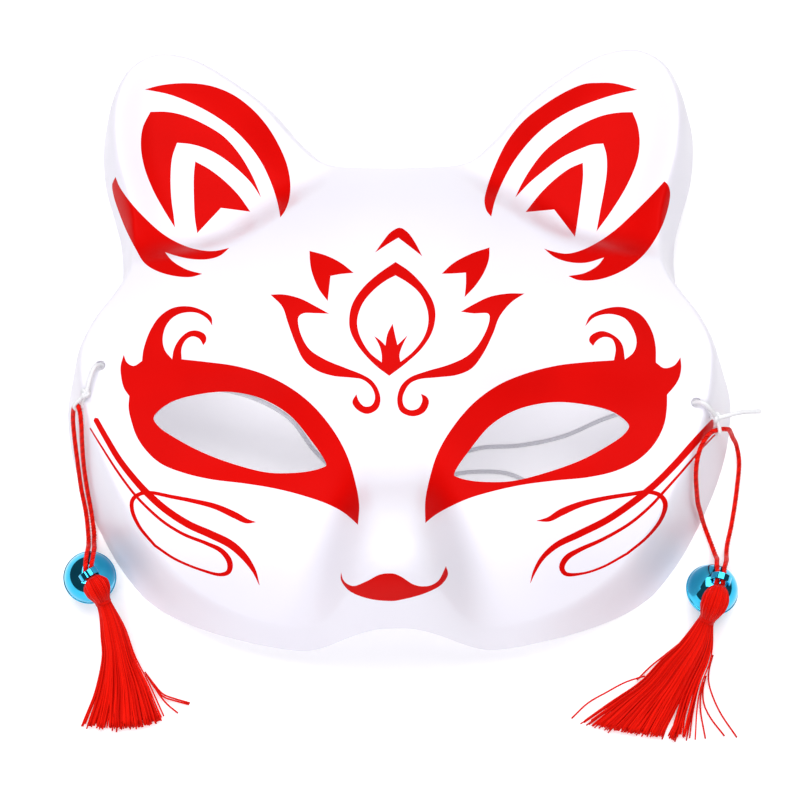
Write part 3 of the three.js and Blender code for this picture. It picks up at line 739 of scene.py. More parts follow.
def knot_piece(name, middle, loop_route, lean, tail, replaced):
    """A knot round a cord loop, with the elastic's free end where one sticks out."""
    apex = nearest_point(loop_route, middle)
    apex_way = loop_route[apex + 1] - loop_route[apex - 1]
    parts = [overhand_knot(middle, lean), bight(middle, loop_route[apex], apex_way)]
    if tail is not None:
        parts.append(braided_tube([middle, *tail], elastic_diameter / 2))
    points, faces, _ = joined(parts)
    return add_piece(name, points, faces, [elastic_white], replaced)


elastic_line = [left_knot, *elastic_route, right_knot]
elastic_points, elastic_faces = braided_tube(elastic_line, elastic_diameter / 2)
elastic = add_piece("elastic", elastic_points, elastic_faces, [elastic_white], "elastic_cord")
knots = [
    knot_piece("knot_left", left_knot, left_loop_route, (0.5, 0.6, 0.6), None, "elastic_knot_left"),
    knot_piece("knot_right", right_knot, right_loop_route, (-0.5, 0.3, 0.8), right_tail_route,
               "elastic_knot_right"),
]
elastic_path = to_frame(smooth_line(elastic_line, elastic_path_step))


def loop_line(route, knot_middle, head_start):
    """From the elastic down one side, round inside the tassel's head and up the other side to the elastic."""
    apex = nearest_point(route, knot_middle)
    between = (route[0] + route[-1]) / 2
    way = unit(np.array(head_start) - between)
    side = way * head_turn_side
    turn = [route[-1] + side, between + way * head_turn_depth, route[0] + side]
    return np.concatenate([route[apex:], turn, route[:apex + 1]])


def cord_loop(name, route, knot_middle, tassel, replaced):
    """A loop and the path that it follows."""
    line, (points, faces, ply) = twisted_cord(loop_line(route, knot_middle, tassel["head_start"]))
    piece = add_piece(name, points, faces, [cord_silk], replaced, strands=ply_shades[ply])
    return piece, to_frame(line[::path_stride])


loops = [
    cord_loop("loop_left", left_loop_route, left_knot, left_tassel, "tassel_loop_left"),
    cord_loop("loop_right", right_loop_route, right_knot, right_tassel, "tassel_loop_right"),
]

# Printed pattern, in the photograph's pixels. Each outline is a list of smooth runs, and each run ends at the
# corner where the next one starts.

chevron = [
    [(375, 252.6), (382.3, 242.3), (390.5, 232.3), (399.9, 227.7), (407.7, 232.3), (415, 242.3)],
    [(422.3, 256.3), (411.4, 247.7)],
    [(398.3, 237.7), (387.7, 244.1)],
]
petal_left = [
    [(309.5, 250.8), (325.9, 255.4), (340.5, 262.6)],
    [(353.7, 272.8), (340.5, 274.1)],
    [(330.5, 275.9), (329.2, 287.7)],
    [(327.7, 301), (318.6, 288.6), (311.7, 271.4), (309.9, 260.5)],
]
petal_right = [
    [(489.5, 247.4), (489, 258.6), (484.5, 271.4), (475.9, 285)],
    [(464.6, 297.2), (465.9, 284.1)],
    [(465.9, 272.6), (453.2, 273.5)],
    [(441.7, 273.7), (453.2, 263.2), (471.4, 253.5)],
]
leaf_left = [
    [(270.5, 294.6), (284.1, 294.5), (300.5, 298.6), (315, 305.9)],
    [(329.2, 313.7), (315, 313.2), (303.2, 313.4), (298.6, 316.8), (298.3, 324.1), (301.9, 336.8),
     (309.5, 349.2), (324.1, 359), (345.9, 368.1), (362.3, 374.6), (371.4, 380.1), (377.7, 388.6),
     (380.5, 399.5), (377.7, 408.6), (367.7, 413.9), (357.7, 410.1), (352.3, 402.3)],
    [(356.3, 394.1), (358.6, 400.5), (364.1, 406.3), (371.4, 405.5), (375, 397.7), (371.4, 386.8),
     (362.3, 379.5), (351.4, 377.7), (333.2, 375.9), (316.8, 370.5), (304.1, 360.5), (295, 342.3),
     (287.7, 322.3), (282.3, 306.8)],
]
leaf_right = [
    [(524.6, 293.5), (507.7, 293.5), (489.5, 296.8), (473.2, 304.5)],
    [(460.8, 311.7), (473.2, 313.4), (488.6, 313.9), (489.5, 319.5), (485, 333.2), (475.9, 347.7),
     (465.9, 356.8), (447.7, 365), (425.9, 371.4), (409.5, 377.7), (400.5, 386.8), (397.2, 400.5),
     (400.5, 411.4), (412.3, 416.3), (424.1, 412.3), (429, 402.3), (426.8, 396.8)],
    [(421, 393.7), (422.3, 400.5), (417.7, 408.6), (409.5, 409.9), (404.1, 405.9), (402.8, 396.8),
     (409.5, 384.1), (418.6, 379.5), (436.8, 377.4), (456.8, 375), (471.4, 368.6), (482.3, 355),
     (493.2, 333.2), (499.5, 316.8), (511.4, 302.3)],
]
drop_outer = [
    [(395.5, 261.9), (409.5, 271.4), (424.1, 286.8), (433.2, 302.3), (435.5, 315), (432.3, 331.4),
     (422.3, 347.7), (405.9, 363.2)],
    [(389.2, 375.9), (375, 365), (358.6, 346.8), (350.5, 331.4), (349.2, 318.6), (352.3, 304.1),
     (362.3, 288.6), (376.8, 275)],
]
drop_inner = [
    [(395.5, 275.4), (407.7, 282.6), (419.6, 293.2), (426.8, 307.7), (428.3, 322.3), (424.1, 336.8),
     (413.2, 351.4)],
    [(400.5, 361.9), (399.5, 355), (402.3, 345.9)],
    [(407.7, 335), (402.2, 340.4)],
    [(397.4, 345), (395.9, 338.6)],
    [(392.6, 323.5), (387.4, 334)],
    [(385.4, 345.5), (380.5, 340.5)],
    [(374.1, 335.9), (379.5, 345.9), (381.7, 355)],
    [(381.7, 362.3), (369.5, 352.3), (359.5, 335), (357.2, 320.5), (362.3, 304.1), (373.2, 290.5),
     (385.9, 280.5)],
]

ear_crescent_left = [
    [(144.7, 89.4), (161.6, 85.1), (185.7, 83.1), (209.8, 85.6), (232.2, 94.2), (251.1, 108),
     (266.6, 125.2), (278.7, 145), (287.3, 165.7), (290.4, 184.7), (289, 200.2), (284.7, 211.3)],
    [(280.4, 217.4), (277.3, 201.9), (271.8, 184.7), (262.3, 164), (251.1, 147.6), (233.9, 129.5),
     (215, 115.8), (192.6, 103.7), (170.2, 94.8)],
]
ear_arch_left = [
    [(150.4, 111.8), (166.8, 111.8), (184, 115.4), (202.9, 123.5), (223.6, 136.4), (239.1, 153.7),
     (251.1, 173.5), (258, 189)],
    [(261.1, 197.6), (251.1, 182.9), (237.4, 169.2), (221.9, 157.1), (206.4, 148.8), (190.9, 144.2)],
    [(177.1, 142.8), (172.3, 157.1), (170.6, 177.8), (171.6, 200.2), (173.7, 215.7)],
    [(175, 227.7), (163.3, 208.8), (153, 189.8), (144.4, 167.4), (140.9, 146.8), (142.7, 127.8)],
]
ear_triangle_left = [
    [(195.2, 161.4), (209.8, 169.5), (225.3, 181.6), (239.1, 195.8)],
    [(250.3, 211.7), (235.6, 209.8)],
    [(221, 207.9), (209.1, 220.5)],
    [(197.2, 233.2), (194.8, 217.4), (193.8, 195), (193.8, 176)],
]
ear_swoosh_left = [
    [(115.5, 176.9), (119.4, 186.4), (128.9, 200.2), (142.7, 215.7), (161.6, 232.9), (178.8, 243.2),
     (196, 249.2), (213.3, 251)],
    [(229.3, 247.9), (220.2, 255.6), (208.1, 259.2), (190.9, 259), (177.1, 256.1)],
    [(165, 252.2), (171.9, 260.4), (185.7, 269)],
    [(202.4, 273.9), (190.9, 277), (173.7, 275.9), (156.4, 270.8), (144.4, 263), (135.8, 249.2),
     (125.4, 228.6), (117.7, 208.8), (113.4, 195), (112.2, 184.7)],
]
ear_crescent_right = [
    [(637.5, 89.8), (625.9, 86.1), (612.6, 83.1), (599.4, 82.8), (584.4, 83.9), (564.5, 92.2),
     (543, 105.5), (523.1, 121.3), (507.3, 141.2), (494.9, 166), (486.6, 189.3), (484.4, 200.9),
     (486.6, 210.8)],
    [(491.2, 216.6), (494.9, 200.9), (501.5, 184.3), (513.1, 162.7), (529.7, 141.2), (547.9, 124.6),
     (571.2, 110.5), (596, 100.5), (617.6, 93.9)],
]
ear_arch_right = [
    [(632.5, 112.1), (619.3, 112.5), (602.7, 115.5), (582.8, 123.7), (562.9, 136.2), (544.6, 151.1),
     (531.4, 167.7), (521.4, 184.3)],
    [(515.3, 197.5), (529.7, 182.6), (544.6, 170.2), (562.9, 156.9), (582.8, 147.8), (592.7, 144.5)],
    [(603.2, 143.6), (606.3, 154.4), (606.8, 171), (604.3, 189.3), (600.2, 210.8)],
    [(596.5, 231.5), (612.6, 209.2), (627.5, 184.3), (637.5, 159.4), (639.7, 141.2), (637.5, 124.6)],
]
ear_triangle_right = [
    [(582.8, 162.7), (569.5, 168.5), (552.9, 181), (539.7, 194.2)],
    [(525.6, 212.1), (540, 210.8)],
    [(554.2, 209.5), (564.6, 223.1)],
    [(575, 236.8), (577.8, 219.1), (581.4, 192.6), (583.1, 176)],
]
ear_swoosh_right = [
    [(664.4, 181.3), (650.8, 195.9), (632.5, 214.1), (614.3, 230.7), (596, 243.2), (579.5, 250.9),
     (566.2, 253.6), (552.9, 251.4)],
    [(543.8, 248.5), (554.6, 257.2), (569.5, 262.2), (586.1, 262.7)],
    [(604, 257.6), (597.7, 265.5), (584.4, 273)],
    [(568.2, 276), (577.8, 280), (596, 280), (614.3, 274.7), (632.5, 264.7), (647.4, 250.6),
     (660.7, 229.1), (668.2, 207.5), (670.2, 192.6), (668.2, 185.1)],
]

eye_band_left = [
    [(123.7, 354.7), (120.6, 366), (121, 376), (123.9, 388)],
    [(129.2, 396), (128.6, 408.3), (131.5, 421.7), (137.1, 437.3), (148.2, 452.9), (161.6, 464.1),
     (183.9, 473), (210.7, 479.3), (244.2, 483.5), (273.2, 488.2), (302.2, 495.4), (329, 504.7),
     (344.6, 513.2)],
    [(358, 524.8), (359.2, 504.3), (354.7, 479.7), (346.9, 455.2), (333.5, 430.6), (313.4, 406.1),
     (291.1, 388.2), (264.3, 374.4), (235.3, 365.9), (206.3, 361.9)],
    [(181.7, 359.2), (181.7, 348), (186.2, 339.6), (192.9, 336.4), (199.6, 339.1)],
    [(203.3, 345.4), (206.3, 340.2), (205.1, 334.6), (197.3, 330.6), (188.4, 331.7), (179.5, 339.1),
     (173.9, 349.2)],
    [(172.1, 359.2), (165, 350.3), (162.7, 339.1), (166.1, 325.7), (173.9, 316.8), (183.9, 312.8),
     (197.3, 313), (207.4, 319)],
    [(212.3, 325.7), (211.2, 316.8), (201.8, 310.1), (188.4, 306.3), (172.8, 307.9), (159.4, 316.8),
     (149.3, 332.4), (143.3, 350.3)],
    [(142, 361), (133.7, 365.9), (127, 362.5)],
]
eye_band_right = [
    [(680.5, 357.2), (681.3, 368), (679.2, 378), (674.6, 386)],
    [(667.2, 394.6), (666.8, 408.9), (664, 424.9), (654.8, 443.3), (638.8, 459.4), (615.8, 470.9),
     (588.2, 477.3), (556.1, 480.5), (524, 484.6), (496.4, 490.4), (468.9, 498.4), (448.2, 507.6),
     (434.4, 515.6)],
    [(425.3, 523), (425.3, 500.7), (429.8, 477.7), (437.9, 452.5), (452.8, 427.2), (473.5, 403.1),
     (498.7, 384.8), (526.3, 373.3), (556.1, 365.7), (583.7, 362.3)],
    [(614, 360.2), (615.6, 348), (612, 339), (604, 337), (597, 340.5)],
    [(593, 346), (589, 340.6), (591, 335.5), (601.5, 331), (614, 335.5), (622, 344)],
    [(625, 359.5), (633.4, 352.5), (636.5, 342), (633, 329), (624.5, 318.2), (609, 314), (594, 317.6)],
    [(585, 326.5), (590, 316), (604, 309), (622, 307), (640, 314), (651, 329), (655.5, 345)],
    [(656, 362.5), (664, 368), (674.3, 365.3)],
]
lips = [
    [(341, 572), (344, 581), (353, 586), (367, 581), (380, 574.5), (393, 573.5), (400, 576), (415, 585),
     (428, 586), (438, 581)],
    [(446, 566), (448, 574.5), (441, 585), (423, 594), (400, 600), (393, 601), (370, 599),
     (349.5, 591), (341, 580)],
]

# Brush strokes of the whiskers, as places with the stroke's width there
whisker_left = [
    (95.8, 419.5, 5.4), (105.8, 437.3, 5.8), (119.2, 459.6, 6.2), (134.8, 479.7, 6.6), (148.2, 494.2, 7),
    (166.1, 509.9, 7.2), (188.4, 524.4, 7.4), (210.7, 534.4, 7.8), (230.8, 544.5, 8), (244.2, 556.7, 7),
    (254.2, 571.3, 4), (259.4, 585.1, 0.4),
]
thread_down_left = [
    (90.2, 428.4, 1.4), (101.3, 446.3, 2), (117, 470.8, 2.4), (132.6, 492, 2.6), (146, 506.5, 2.8),
    (163.8, 522.1, 3), (183.9, 534.4, 3.2), (206.3, 543.3, 3.8), (221.9, 551.2, 5), (229.7, 562.3, 5.8),
    (228.6, 571.7, 5), (220.8, 574.6, 3.6), (201.8, 570.1, 2.6), (175, 559, 2.6), (154.9, 545.6, 2.8),
]
thread_up_left = [
    (154.9, 545.6, 2.8), (139.3, 526.6, 3.4), (132.1, 509.9, 4), (132.6, 499.8, 4.2), (139.3, 494.2, 4),
    (150.4, 492.7, 3.6), (170.5, 496.5, 3.8), (192.9, 500.9, 4.4), (215.2, 506.5, 5.6), (235.3, 515.4, 6.6),
    (246.4, 521, 5), (255.8, 522.1, 0.4),
]
whisker_right = [
    (715.7, 420.3, 7), (696.1, 441, 7.3), (675.5, 464, 7), (654.8, 484.6, 6.8), (631.9, 503, 7),
    (606.6, 520.2, 7), (579.1, 534, 7), (556.1, 545.5, 6), (542.3, 558.1, 4.6), (534.3, 571.9, 3),
    (530.4, 582.9, 0.4),
]
thread_down_right = [
    (726, 428, 1.7), (716, 434, 1.8), (708, 442, 1.8), (700.7, 449.7, 1.9), (682.4, 470.9, 2.4),
    (664, 491.5, 2.8), (650.2, 506.4, 3), (629.6, 523.7, 3.2), (602, 539.7, 3.6), (579.1, 550.1, 4.6),
    (566.4, 558.1, 5.8), (561.8, 567.3, 5.6), (565.3, 573.7, 4.4), (581.4, 573.7, 2.6), (602, 567.3, 2.4),
    (627.3, 553.5, 2.6),
]
thread_up_right = [
    (627.3, 553.5, 2.6), (647.9, 536.3, 3), (661.7, 517.9, 4), (665.2, 503, 5.2), (659.4, 495, 4.6),
    (647.9, 492, 4), (629.6, 494.3, 4), (602, 498.9, 4.6), (579.1, 504.8, 6), (560.7, 512.6, 7),
    (549.2, 519.1, 5), (536.6, 520.9, 0.4),
]

outlines = [
    chevron, petal_left, petal_right, leaf_left, leaf_right, ear_crescent_left, ear_arch_left,
    ear_triangle_left, ear_swoosh_left, ear_crescent_right, ear_arch_right, ear_triangle_right,
    ear_swoosh_right, eye_band_left, eye_band_right, lips,
]
strokes = [
    whisker_left, thread_down_left, thread_up_left, whisker_right, thread_down_right, thread_up_right,
]
ink_step = 2.0
stroke_step = 2.4
stroke_start_reach = 0.8


def run_outline(runs):
    """A closed outline in pixels, at even steps along each smooth run."""
    points = []
    for run, following in zip(runs, runs[1:] + runs[:1]):
        points.append(smooth_line([*run, following[0]], ink_step)[:-1])
    return np.concatenate(points)


def stroke_outline(stroke):
    """The closed outline of a brush stroke in pixels, with a round start."""
    line = smooth_line(stroke, stroke_step)
    way = unit(np.gradient(line[:, :2], axis=0))
    side = np.stack([-way[:, 1], way[:, 0]], 1)
    half = line[:, 2:] / 2
    start = line[0, :2] - way[0] * half[0] * stroke_start_reach
    return np.concatenate([line[:, :2] + side * half, (line[:, :2] - side * half)[::-1], [start]])


def print_areas():
    """Red areas on the shell, each as a closed outline with its gaps."""
    areas = [(on_mask(run_outline(runs)), []) for runs in outlines]
    areas.append((on_mask(run_outline(drop_outer)), [on_mask(run_outline(drop_inner))]))
    areas += [(on_mask(stroke_outline(stroke)), []) for stroke in strokes]
    return areas


# Shell mesh: a net of triangles whose edges follow the rim, the openings and the print

eye_steps = 6
hole_sides = 20
grid_step = 1.3 * MM
muzzle_grid_step = 0.75 * MM
muzzle_half_width = 24 * MM
muzzle_top = -24 * MM
fold_offsets = np.arange(-2.45, 2.5, 0.35) * MM
side_shares = (0.3, 0.6, 0.85)
fold_search = np.arange(0.6, 14, 0.2) * MM
clear_of_fold = 12.0 * MM
clear_of_ink = 0.4 * MM
clear_of_rim = 0.8 * MM
cell = 0.3 * MM
grid_half = 106 * MM
side_test_depth = 0.5 * MM
rim_band = 1.0 * MM
net_tolerance = 1e-5
least_area = 1e-14
least_normal = 1e-12


def point_tree(places):
    """A search tree of places seen from above."""
    tree = kdtree.KDTree(len(places))
    for number, place in enumerate(places):
        tree.insert((place[0], place[1], 0), number)
    tree.balance()
    return tree


def inward_ways(loop):
    along = unit(np.roll(loop, -1, 0) - np.roll(loop, 1, 0))
    ways = np.stack([along[:, 1], -along[:, 0]], 1)
    sample = loop + ways * side_test_depth
    return np.where(inside(sample, rim)[:, None], ways, -ways)


def rim_loop():
    """The cut edge seen from above. Where the side would go under the table it ends at the table."""
    loop = np.stack([rim, (rim + np.roll(rim, -1, 0)) / 2], 1).reshape(-1, 2)
    ways = inward_ways(loop)
    under = np.maximum(-rim_height(loop[:, 0], loop[:, 1]), 0)
    return loop + ways * (under / flange_slope)[:, None], loop, ways


def hole_loop(x, y):
    """A round hole square to the shell, seen from above."""
    point = np.array([x, y, shell_height(np.array([x]), np.array([y]))[0]])
    normal = shell_normals(np.array([x]), np.array([y]), np.zeros((1, 2)))[0]
    side = unit(np.cross(normal, (0, 1, 0)))
    up = np.cross(normal, side)
    angle = 2 * np.pi * np.arange(hole_sides) / hole_sides
    ring = point + hole_diameter / 2 * (np.cos(angle)[:, None] * side + np.sin(angle)[:, None] * up)
    return ring[:, :2]


def fold_rows(loop, ways):
    """Rows of points along the side and closely across the fold above it."""
    x = loop[:, None, 0] + ways[:, None, 0] * fold_search
    y = loop[:, None, 1] + ways[:, None, 1] * fold_search
    face, side, _ = shell_layers(x.ravel(), y.ravel())
    over = (side > face).reshape(x.shape)
    found = over.any(1)
    fold = fold_search[np.argmax(over, 1)][found]
    start, way = loop[found], ways[found]
    rows = [start + way * (fold + offset)[:, None] for offset in fold_offsets]
    rows += [start + way * (fold * share)[:, None] for share in side_shares]
    return np.concatenate(rows)


def hex_grid(step, low, high):
    """Points of even triangles between two corners."""
    rows = np.arange(low[1], high[1], step * math.sqrt(3) / 2)
    points = []
    for number, y in enumerate(rows):
        x = np.arange(low[0] + (number % 2) * step / 2, high[0], step)
        points.append(np.stack([x, np.full(len(x), y)], 1))
    return np.concatenate(points)


def free_points(loop, ways, lines):
    """Points between the lines, none too close to another or to a line."""
    coarse = hex_grid(grid_step, (-grid_half, -grid_half), (grid_half, grid_half))
    close = hex_grid(muzzle_grid_step, (-muzzle_half_width, -grid_half), (muzzle_half_width, muzzle_top))
    in_muzzle = (np.abs(coarse[:, 0]) < muzzle_half_width) & (coarse[:, 1] < muzzle_top)
    grid = np.concatenate([coarse[~in_muzzle], close])
    grid = grid[inside(grid, rim)]
    face, side, _ = shell_layers(grid[:, 0], grid[:, 1])
    grid = grid[side - face > clear_of_fold]
    rows = fold_rows(loop, ways)
    rows = rows[inside(rows, rim)]
    rows = rows[rim_distance(rows[:, 0], rows[:, 1]) > clear_of_rim]
    points = np.concatenate([rows, grid])
    _, first = np.unique(np.round(points / cell).astype(int), axis=0, return_index=True)
    points = points[np.sort(first)]
    tree = point_tree(np.concatenate(lines))
    return np.array([p for p in points if tree.find((p[0], p[1], 0))[2] > clear_of_ink])


def boundary_edges(triangles):
    """Edges with a triangle on one side only, in that triangle's order."""
    edges = np.concatenate([triangles[:, [0, 1]], triangles[:, [1, 2]], triangles[:, [2, 0]]])
    _, index, count = np.unique(np.sort(edges, 1), axis=0, return_index=True, return_counts=True)
    return edges[index[count == 1]]


def shell_net(edge, openings, lines, free):
    """Places and triangles between the cut edge and the openings. Triangle edges follow the closed lines."""
    places = np.concatenate([*lines, free]) / MM
    edges, start = [], 0
    for line in lines:
        count = len(line)
        edges += [(start + i, start + (i + 1) % count) for i in range(count)]
        start += count
    found, _, faces, *_ = geometry.delaunay_2d_cdt(
        [Vector(p) for p in places], edges, [], 0, net_tolerance, False)
    flat = np.array([tuple(v) for v in found]) * MM
    triangles = np.array([tuple(f) for f in faces])
    middles = flat[triangles].mean(1)
    kept = inside(middles, edge)
    for opening in openings:
        kept &= ~inside(middles, opening)
    a, b, c = flat[triangles].transpose(1, 0, 2)
    area = (b[:, 0] - a[:, 0]) * (c[:, 1] - a[:, 1]) - (b[:, 1] - a[:, 1]) * (c[:, 0] - a[:, 0])
    kept &= np.abs(area) > least_area
    triangles = np.where((area > 0)[:, None], triangles, triangles[:, ::-1])[kept]
    used, triangles = np.unique(triangles, return_inverse=True)
    return flat[used], triangles.reshape(-1, 3)


def red_triangles(middles, areas):
    """Which triangles are printed, told by their middles."""
    red = np.zeros(len(middles), bool)
    for outline, gaps in areas:
        within = inside(middles, outline)
        for gap in gaps:
            within &= ~inside(middles, gap)
        red |= within
    return red


def inward_near_rim(x, y, loop, ways):
    """The way inwards at places close to the rim, and none elsewhere."""
    tree = point_tree(loop)
    return np.array([ways[tree.find((px, py, 0))[1]] if distance < rim_band else (0, 0)
                     for px, py, distance in zip(x, y, rim_distance(x, y))])


def shell_piece():
    """An outer and an inner face at an even wall, closed along every edge, with the shape's own normals."""
    edge, loop, ways = rim_loop()
    openings = [smooth_outline([(mx + side * x, my + y) for x, y in eye_outline], eye_steps) * MM
                for side, (mx, my) in eyes]
    openings += [hole_loop(x, y) for x, y in holes]
    areas = print_areas()
    closed = [edge, *openings, *[line for area, gaps in areas for line in (area, *gaps)]]
    flat, triangles = shell_net(edge, openings, closed, free_points(loop, ways, closed))
    red = red_triangles(flat[triangles].mean(1), areas)
    x, y = flat.T
    normals = shell_normals(x, y, inward_near_rim(x, y, loop, ways))
    outer = np.stack([x, y, np.maximum(shell_height(x, y), 0)], 1)
    inner = outer - wall * normals
    inner[:, 2] = np.maximum(inner[:, 2], 0)
    count = len(outer)
    border = boundary_edges(triangles)
    walls = np.stack([border[:, 1], border[:, 0], border[:, 0] + count, border[:, 1] + count], 1)
    faces = triangles.tolist() + (triangles[:, ::-1] + count).tolist() + walls.tolist()
    kinds = np.concatenate([red.astype(int), np.full(len(triangles) + len(walls), 2)])
    points = np.concatenate([outer, inner])
    piece = add_piece("shell", points, faces, [plastic, ink, plastic_inside], "mask_shell",
                      face_materials=kinds)
    corners = points[walls]
    across_walls = np.cross(corners[:, 1] - corners[:, 0], corners[:, 3] - corners[:, 0])
    wall_normals = unit(across_walls + least_normal)
    loop_normals = np.concatenate([
        normals[triangles].reshape(-1, 3),
        -normals[triangles[:, ::-1]].reshape(-1, 3),
        np.repeat(wall_normals, 4, 0),
    ])
    if len(loop_normals) == len(piece.data.loops):
        piece.data.normals_split_custom_set(loop_normals.tolist())
    return piece


shell_piece()

# Bells

bell_sides = 64
bell_rows = 26
pole_hole = math.radians(5)
seam_angle = 0.075
seam_rows = 9
slot_end_points = 13
slot_overlap = 0.5 * MM
strap_steps = 40
strap_half_width = 0.95 * MM
strap_half_thick = 0.28 * MM
strap_bevel = 0.1 * MM
sharp_angle = math.radians(40)


def turned_profile(profile, sides):
    """A closed profile of (radius, height) pairs turned round the local Y axis."""
    profile = np.array(profile)
    angle = 2 * np.pi * np.arange(sides) / sides
    x = profile[None, :, 0] * np.cos(angle)[:, None]
    z = profile[None, :, 0] * np.sin(angle)[:, None]
    y = np.broadcast_to(profile[None, :, 1], x.shape)
    points = np.stack([x, y, z], 2).reshape(-1, 3)
    return points, ring_faces(sides, len(profile), closed=True)


def bell_profile():
    """The wall from a small hole at the top, over the rolled seam, to a small hole at the bottom."""
    upper = [(bell_radius * math.sin(a), bell_radius * math.cos(a))
             for a in np.linspace(pole_hole, math.pi / 2 - seam_angle, bell_rows)]
    seam = [(bell_radius + seam_proud * math.cos(t), seam_height / 2 * math.sin(t))
            for t in np.linspace(math.pi / 2, -math.pi / 2, seam_rows)]
    lower = [(x, -y) for x, y in upper[::-1]]
    thin = bell_radius - bell_wall
    inner = [(thin * math.sin(a), -thin * math.cos(a))
             for a in np.linspace(pole_hole, math.pi - pole_hole, 2 * bell_rows)]
    return upper + seam + lower + inner


def slot_solid(angle):
    """A slot with round ends through the lower half."""
    half = slot_reach / 2 - slot_width / 2
    top = -math.sqrt(bell_radius ** 2 - (slot_reach / 2) ** 2)
    ring = []
    for side, start in ((1, -90), (-1, 90)):
        for a in np.radians(np.linspace(start, start + 180, slot_end_points)):
            ring.append((side * half + slot_width / 2 * math.cos(a), slot_width / 2 * math.sin(a)))
    n = len(ring)
    c, s = math.cos(angle), math.sin(angle)
    flat = [(x * c - z * s, x * s + z * c) for x, z in ring]
    points = [(x, y, z) for y in (top - 2 * bell_radius, top + slot_overlap) for x, z in flat]
    faces = [tuple(range(n)), tuple(range(2 * n - 1, n - 1, -1))]
    faces += [(i, i + n, (i + 1) % n + n, (i + 1) % n) for i in range(n)]
    return np.array(points), faces


def scratch_object(name, points, faces):
    """A body to cut or to cut with, which isn't kept."""
    mesh = bpy.data.meshes.new(name)
    mesh.from_pydata(np.array(points).tolist(), [], [tuple(f) for f in faces])
    made = bpy.data.objects.new(name, mesh)
    bpy.context.scene.collection.objects.link(made)
    return made


def cut(body, tools):
    """The body's mesh after the tools are taken out of it."""
    for number, tool in enumerate(tools):
        modifier = body.modifiers.new(f"cut_{number}", "BOOLEAN")
        modifier.operation = "DIFFERENCE"
        modifier.object = tool
        modifier.solver = "EXACT"
    bpy.context.view_layer.update()
    result = body.evaluated_get(bpy.context.evaluated_depsgraph_get()).to_mesh()
    points = np.array([v.co[:] for v in result.vertices])
    faces = [tuple(p.vertices) for p in result.polygons]
    for made in [body, *tools]:
        bpy.data.objects.remove(made)
    return points, faces


def strap_eye():
    """A flat strip bent into an eye, with its ends in the bell."""
    ring_radius = eye_hole_radius + eye_wire / 2
    middle = bell_radius + ring_radius - eye_wire / 2
    width, thick, bevel = strap_half_width, strap_half_thick, strap_bevel
    half = [(width, -thick + bevel), (width, thick - bevel), (width - bevel, thick)]
    section = [
        (-width + bevel, -thick), (width - bevel, -thick), *half,
        *[(-across, out) for across, out in half[::-1]],
    ]
    points = []
    for a in np.linspace(0, 2 * np.pi, strap_steps, endpoint=False):
        for across, out in section:
            r = ring_radius + out
            points.append((r * math.sin(a), middle - r * math.cos(a), across))
    return np.array(points), ring_faces(strap_steps, len(section), closed=True)


def bell_piece(name, place, replaced):
    """A ball with a rolled seam, two crossed slots and an eye on top."""
    ball = scratch_object("ball", *turned_profile(bell_profile(), bell_sides))
    slots = [scratch_object(f"slot_{k}", *slot_solid(math.pi / 4 + k * math.pi / 2)) for k in range(2)]
    points, faces, _ = joined([cut(ball, slots), strap_eye()])
    up = unit(place["eye_way"])
    through = np.array(place["loop_way"], float)
    through = unit(through - up * (through @ up))
    across = np.cross(up, through)
    points = points @ np.stack([across, up, through]) + place["middle"]
    piece = add_piece(name, points, faces, [chrome], replaced)
    piece.data.set_sharp_from_angle(angle=sharp_angle)
    return piece


bells = [
    bell_piece("jingle_bell_left", left_bell, "bell_left"),
    bell_piece("jingle_bell_right", right_bell, "bell_right"),
]

# Tassels

strand_count = 300
strand_radius = 0.21 * MM
strand_sides = 5
lowest_middle = 1.1 * strand_radius
most_lift = 0.98
neck_thinning = 0.55
neck_spread = 2.2
golden_turn = math.pi * (3 - math.sqrt(5))

# Rows of the head: place along it, and shares of its half width and half thickness
head_rows = ((0, 0.45, 0.5), (0.14, 0.78, 0.8), (0.38, 1, 1), (0.66, 0.95, 0.97))
head_steps = 9
skirt_steps = 22
skirt_side_step = 1.0
fan_turn_end = 0.6

# How strands leave their even places across the skirt, in shares of its width
even_share = 0.6
blend_end = 0.3
clump_count = 22
clump_pull = 0.5
drift_spread = 0.012
ripple_size = 0.006
ripple_starts = (0, 6)
ripple_turns = 7
gap_reach = 0.07
end_spread = 0.014
shade_middle = 0.5
shade_spread = 0.24

stray_heights = (1.8 * MM, 0.5 * MM)
stray_step = 1.2 * MM
stray_radius = 1.15 * strand_radius
stray_shade = 0.4


def bezier(a, b, c, t):
    """Places and ways along a bend from a to c."""
    a, b, c = [np.array(v, float) for v in (a, b, c)]
    t = np.array(t, float)[:, None]
    points = (1 - t) ** 2 * a + 2 * t * (1 - t) * b + t ** 2 * c
    ways = 2 * (1 - t) * (b - a) + 2 * t * (c - b)
    return points, unit(ways)


